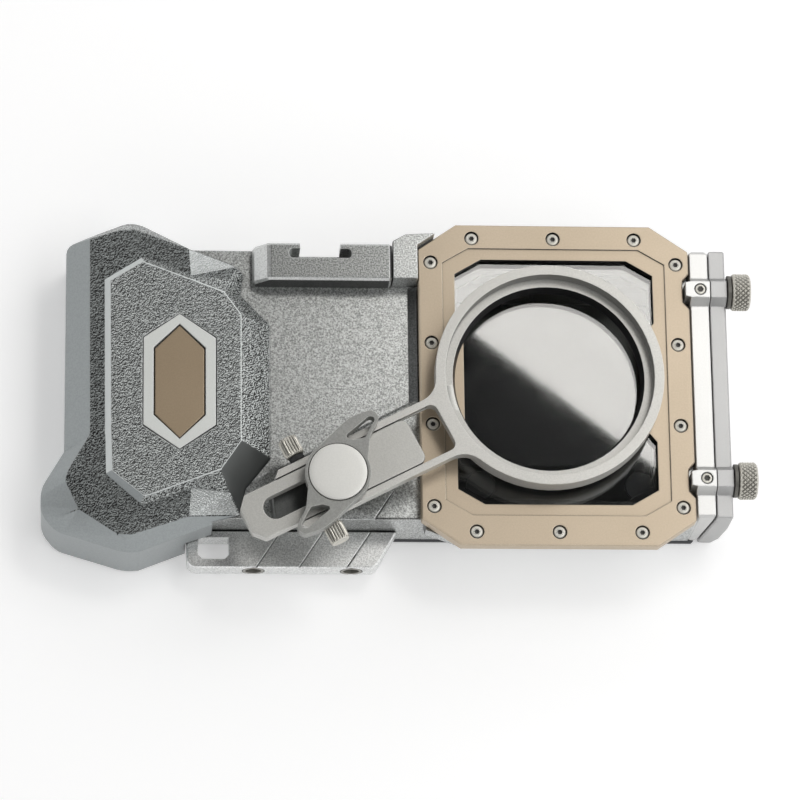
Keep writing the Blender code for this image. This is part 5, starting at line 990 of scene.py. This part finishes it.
def knurledHead(name, foot, direction, look):
    # a head whose side is cut by two families of grooves, each a triangle wave of the angle plus or minus
    # the height, fading towards both chamfers; its end is slightly dished
    radius, length, bevel = look["radius"], look["length"], look["bevel"]
    columns = look["ribColumns"] * look["ribs"]
    rib = np.linspace(0.0, 2 * np.pi, columns, endpoint=False) * look["ribs"] / (2 * np.pi)
    along = np.linspace(0.0, 1.0, look["rows"])
    height = bevel * 0.6 + (length - 1.2 * bevel) * along
    climb = height[:, None] / look["pitch"]
    fade = np.clip(np.minimum(along, 1 - along) * (length / look["fade"]), 0.0, 1.0)[:, None]
    wave = np.minimum(np.abs((rib + climb) % 1.0 - 0.5), np.abs((rib - climb) % 1.0 - 0.5)) * 2
    groove = np.clip(1.0 - wave * look["sharpness"], 0.0, 1.0)
    side = radius - groove * look["depth"] * fade - (1 - fade) * look["depth"] * 0.5
    dished = length - look["dish"]
    rows = [(0.01, 0.0), (radius - bevel, 0.0), *zip(side, height), (radius - bevel, length),
            (radius - bevel * 2.0, length), (radius - bevel * 2.4, dished), (0.01, dished)]
    piece = spun(name, rows, columns, foot, direction)
    # painted shade: the grooves' floors take the dark second colour
    dark = np.zeros(len(piece.data.polygons))
    floors = (groove * fade)[:-1] > 0.6
    dark[2 * columns:(2 + len(floors)) * columns] = floors.ravel()
    layZone(piece, dark)
    return smooth(outward(piece), 50.0)


def threadedShank(name, foot, direction, radius, length, pitch):
    # the radius falls by a triangle wave of the height and the angle, so that the crest climbs a pitch in
    # each turn
    height = np.linspace(0.0, length, max(8, int(length / pitch * 4)) + 1)
    turn = np.linspace(0.0, 2 * np.pi, 32, endpoint=False)
    phase = (height[:, None] / pitch + turn[None, :] / (2 * np.pi)) % 1.0
    thread = radius - np.abs(phase - 0.5) * 0.5 * pitch
    return smooth(outward(spun(name, list(zip(thread, height)), len(turn), foot, direction)), 60.0)


def knurledScrew(name, node, foot, direction, look, reach):
    # a head, and a threaded shank that runs back from the same foot, in one piece
    head = knurledHead(name, foot, direction, look)
    shank = threadedShank(name + "Shank", foot, -direction, look["shank"], reach, look["threadPitch"])
    bpy.ops.object.select_all(action="DESELECT")
    for piece in (head, shank):
        piece.select_set(True)
    bpy.context.view_layer.objects.active = head
    bpy.ops.object.join()
    finishPiece(head, "knurlMetal", node)


for side in ("upper", "lower"):
    node = f"thumbscrew_{side}"
    low, high, foot = boxOf(node)
    foot[0] = high[0] - thumbLook["length"] * mm
    knurledScrew(f"thumbscrewKnurled_{side}", node, foot, np.array([1.0, 0.0, 0.0]), thumbLook,
                 (foot[0] - low[0]) / mm)

# the clamp screws stand square to the arm, at a place measured along it from the stud, across it and up
stud = (np.array(clampLook["stud"]) + toPart) * mm
armAngle = math.radians(clampLook["armAngle"])
armAlong = np.array([math.cos(armAngle), math.sin(armAngle), 0.0])
armAcross = np.array([-math.sin(armAngle), math.cos(armAngle), 0.0])
along, across, height = clampLook["place"]
for side, sign in (("upper", 1), ("lower", -1)):
    foot = stud + (armAlong * along + armAcross * sign * across + np.array([0.0, 0.0, height])) * mm
    knurledScrew(f"clampScrewRibbed_{side}", f"clamp_screw_{side}", foot, armAcross * sign, clampLook,
                 clampLook["reach"])
print("knurled heads ready")


# knob cap

capLook = {
    "radius": 9.15, "rise": 0.12, "edge": 0.35, "columns": 128, "edgeRows": 5, "face": (0.8, 0.6, 0.4, 0.2),
    "finish": {**finishLooks["satinMetal"], "color": (0.76, 0.755, 0.72), "shade": (0.74, 0.735, 0.70),
               "metallic": 0.5, "roughness": (0.42, 0.50)},
    "lines": {"spacing": 0.00022, "depth": 0.000002},      # in metres
}


def buildKnobCap(look):
    # a disc whose rim is most of a quarter round and whose face falls by the square of the radius
    low, high, foot = boxOf("knob_cap")
    foot[2] = low[2]
    thick = (high[2] - low[2]) / mm
    radius, edge, rise = look["radius"], look["edge"], look["rise"]
    rows = [(0.01, 0.0), (radius, 0.0), (radius, thick - edge - rise)]
    rows += [(radius - edge * (1 - math.cos(angle)), thick - rise - edge * (1 - math.sin(angle)))
             for angle in np.linspace(0.3, math.pi / 2, look["edgeRows"])]
    rows += [(radius * share, thick - rise * share * share) for share in look["face"]]
    rows.append((0.01, thick))
    piece = smooth(outward(spun("knobCap", rows, look["columns"], foot, (0, 0, 1))), 32.0)
    finishes["capMetal"] = metalFinish("capMetal", {
        **look["finish"], "lines": {**look["lines"], "middle": tuple(foot)}})
    finishPiece(piece, "capMetal", "knob_cap")


buildKnobCap(capLook)
print("knob cap ready")

bpy.context.view_layer.update()
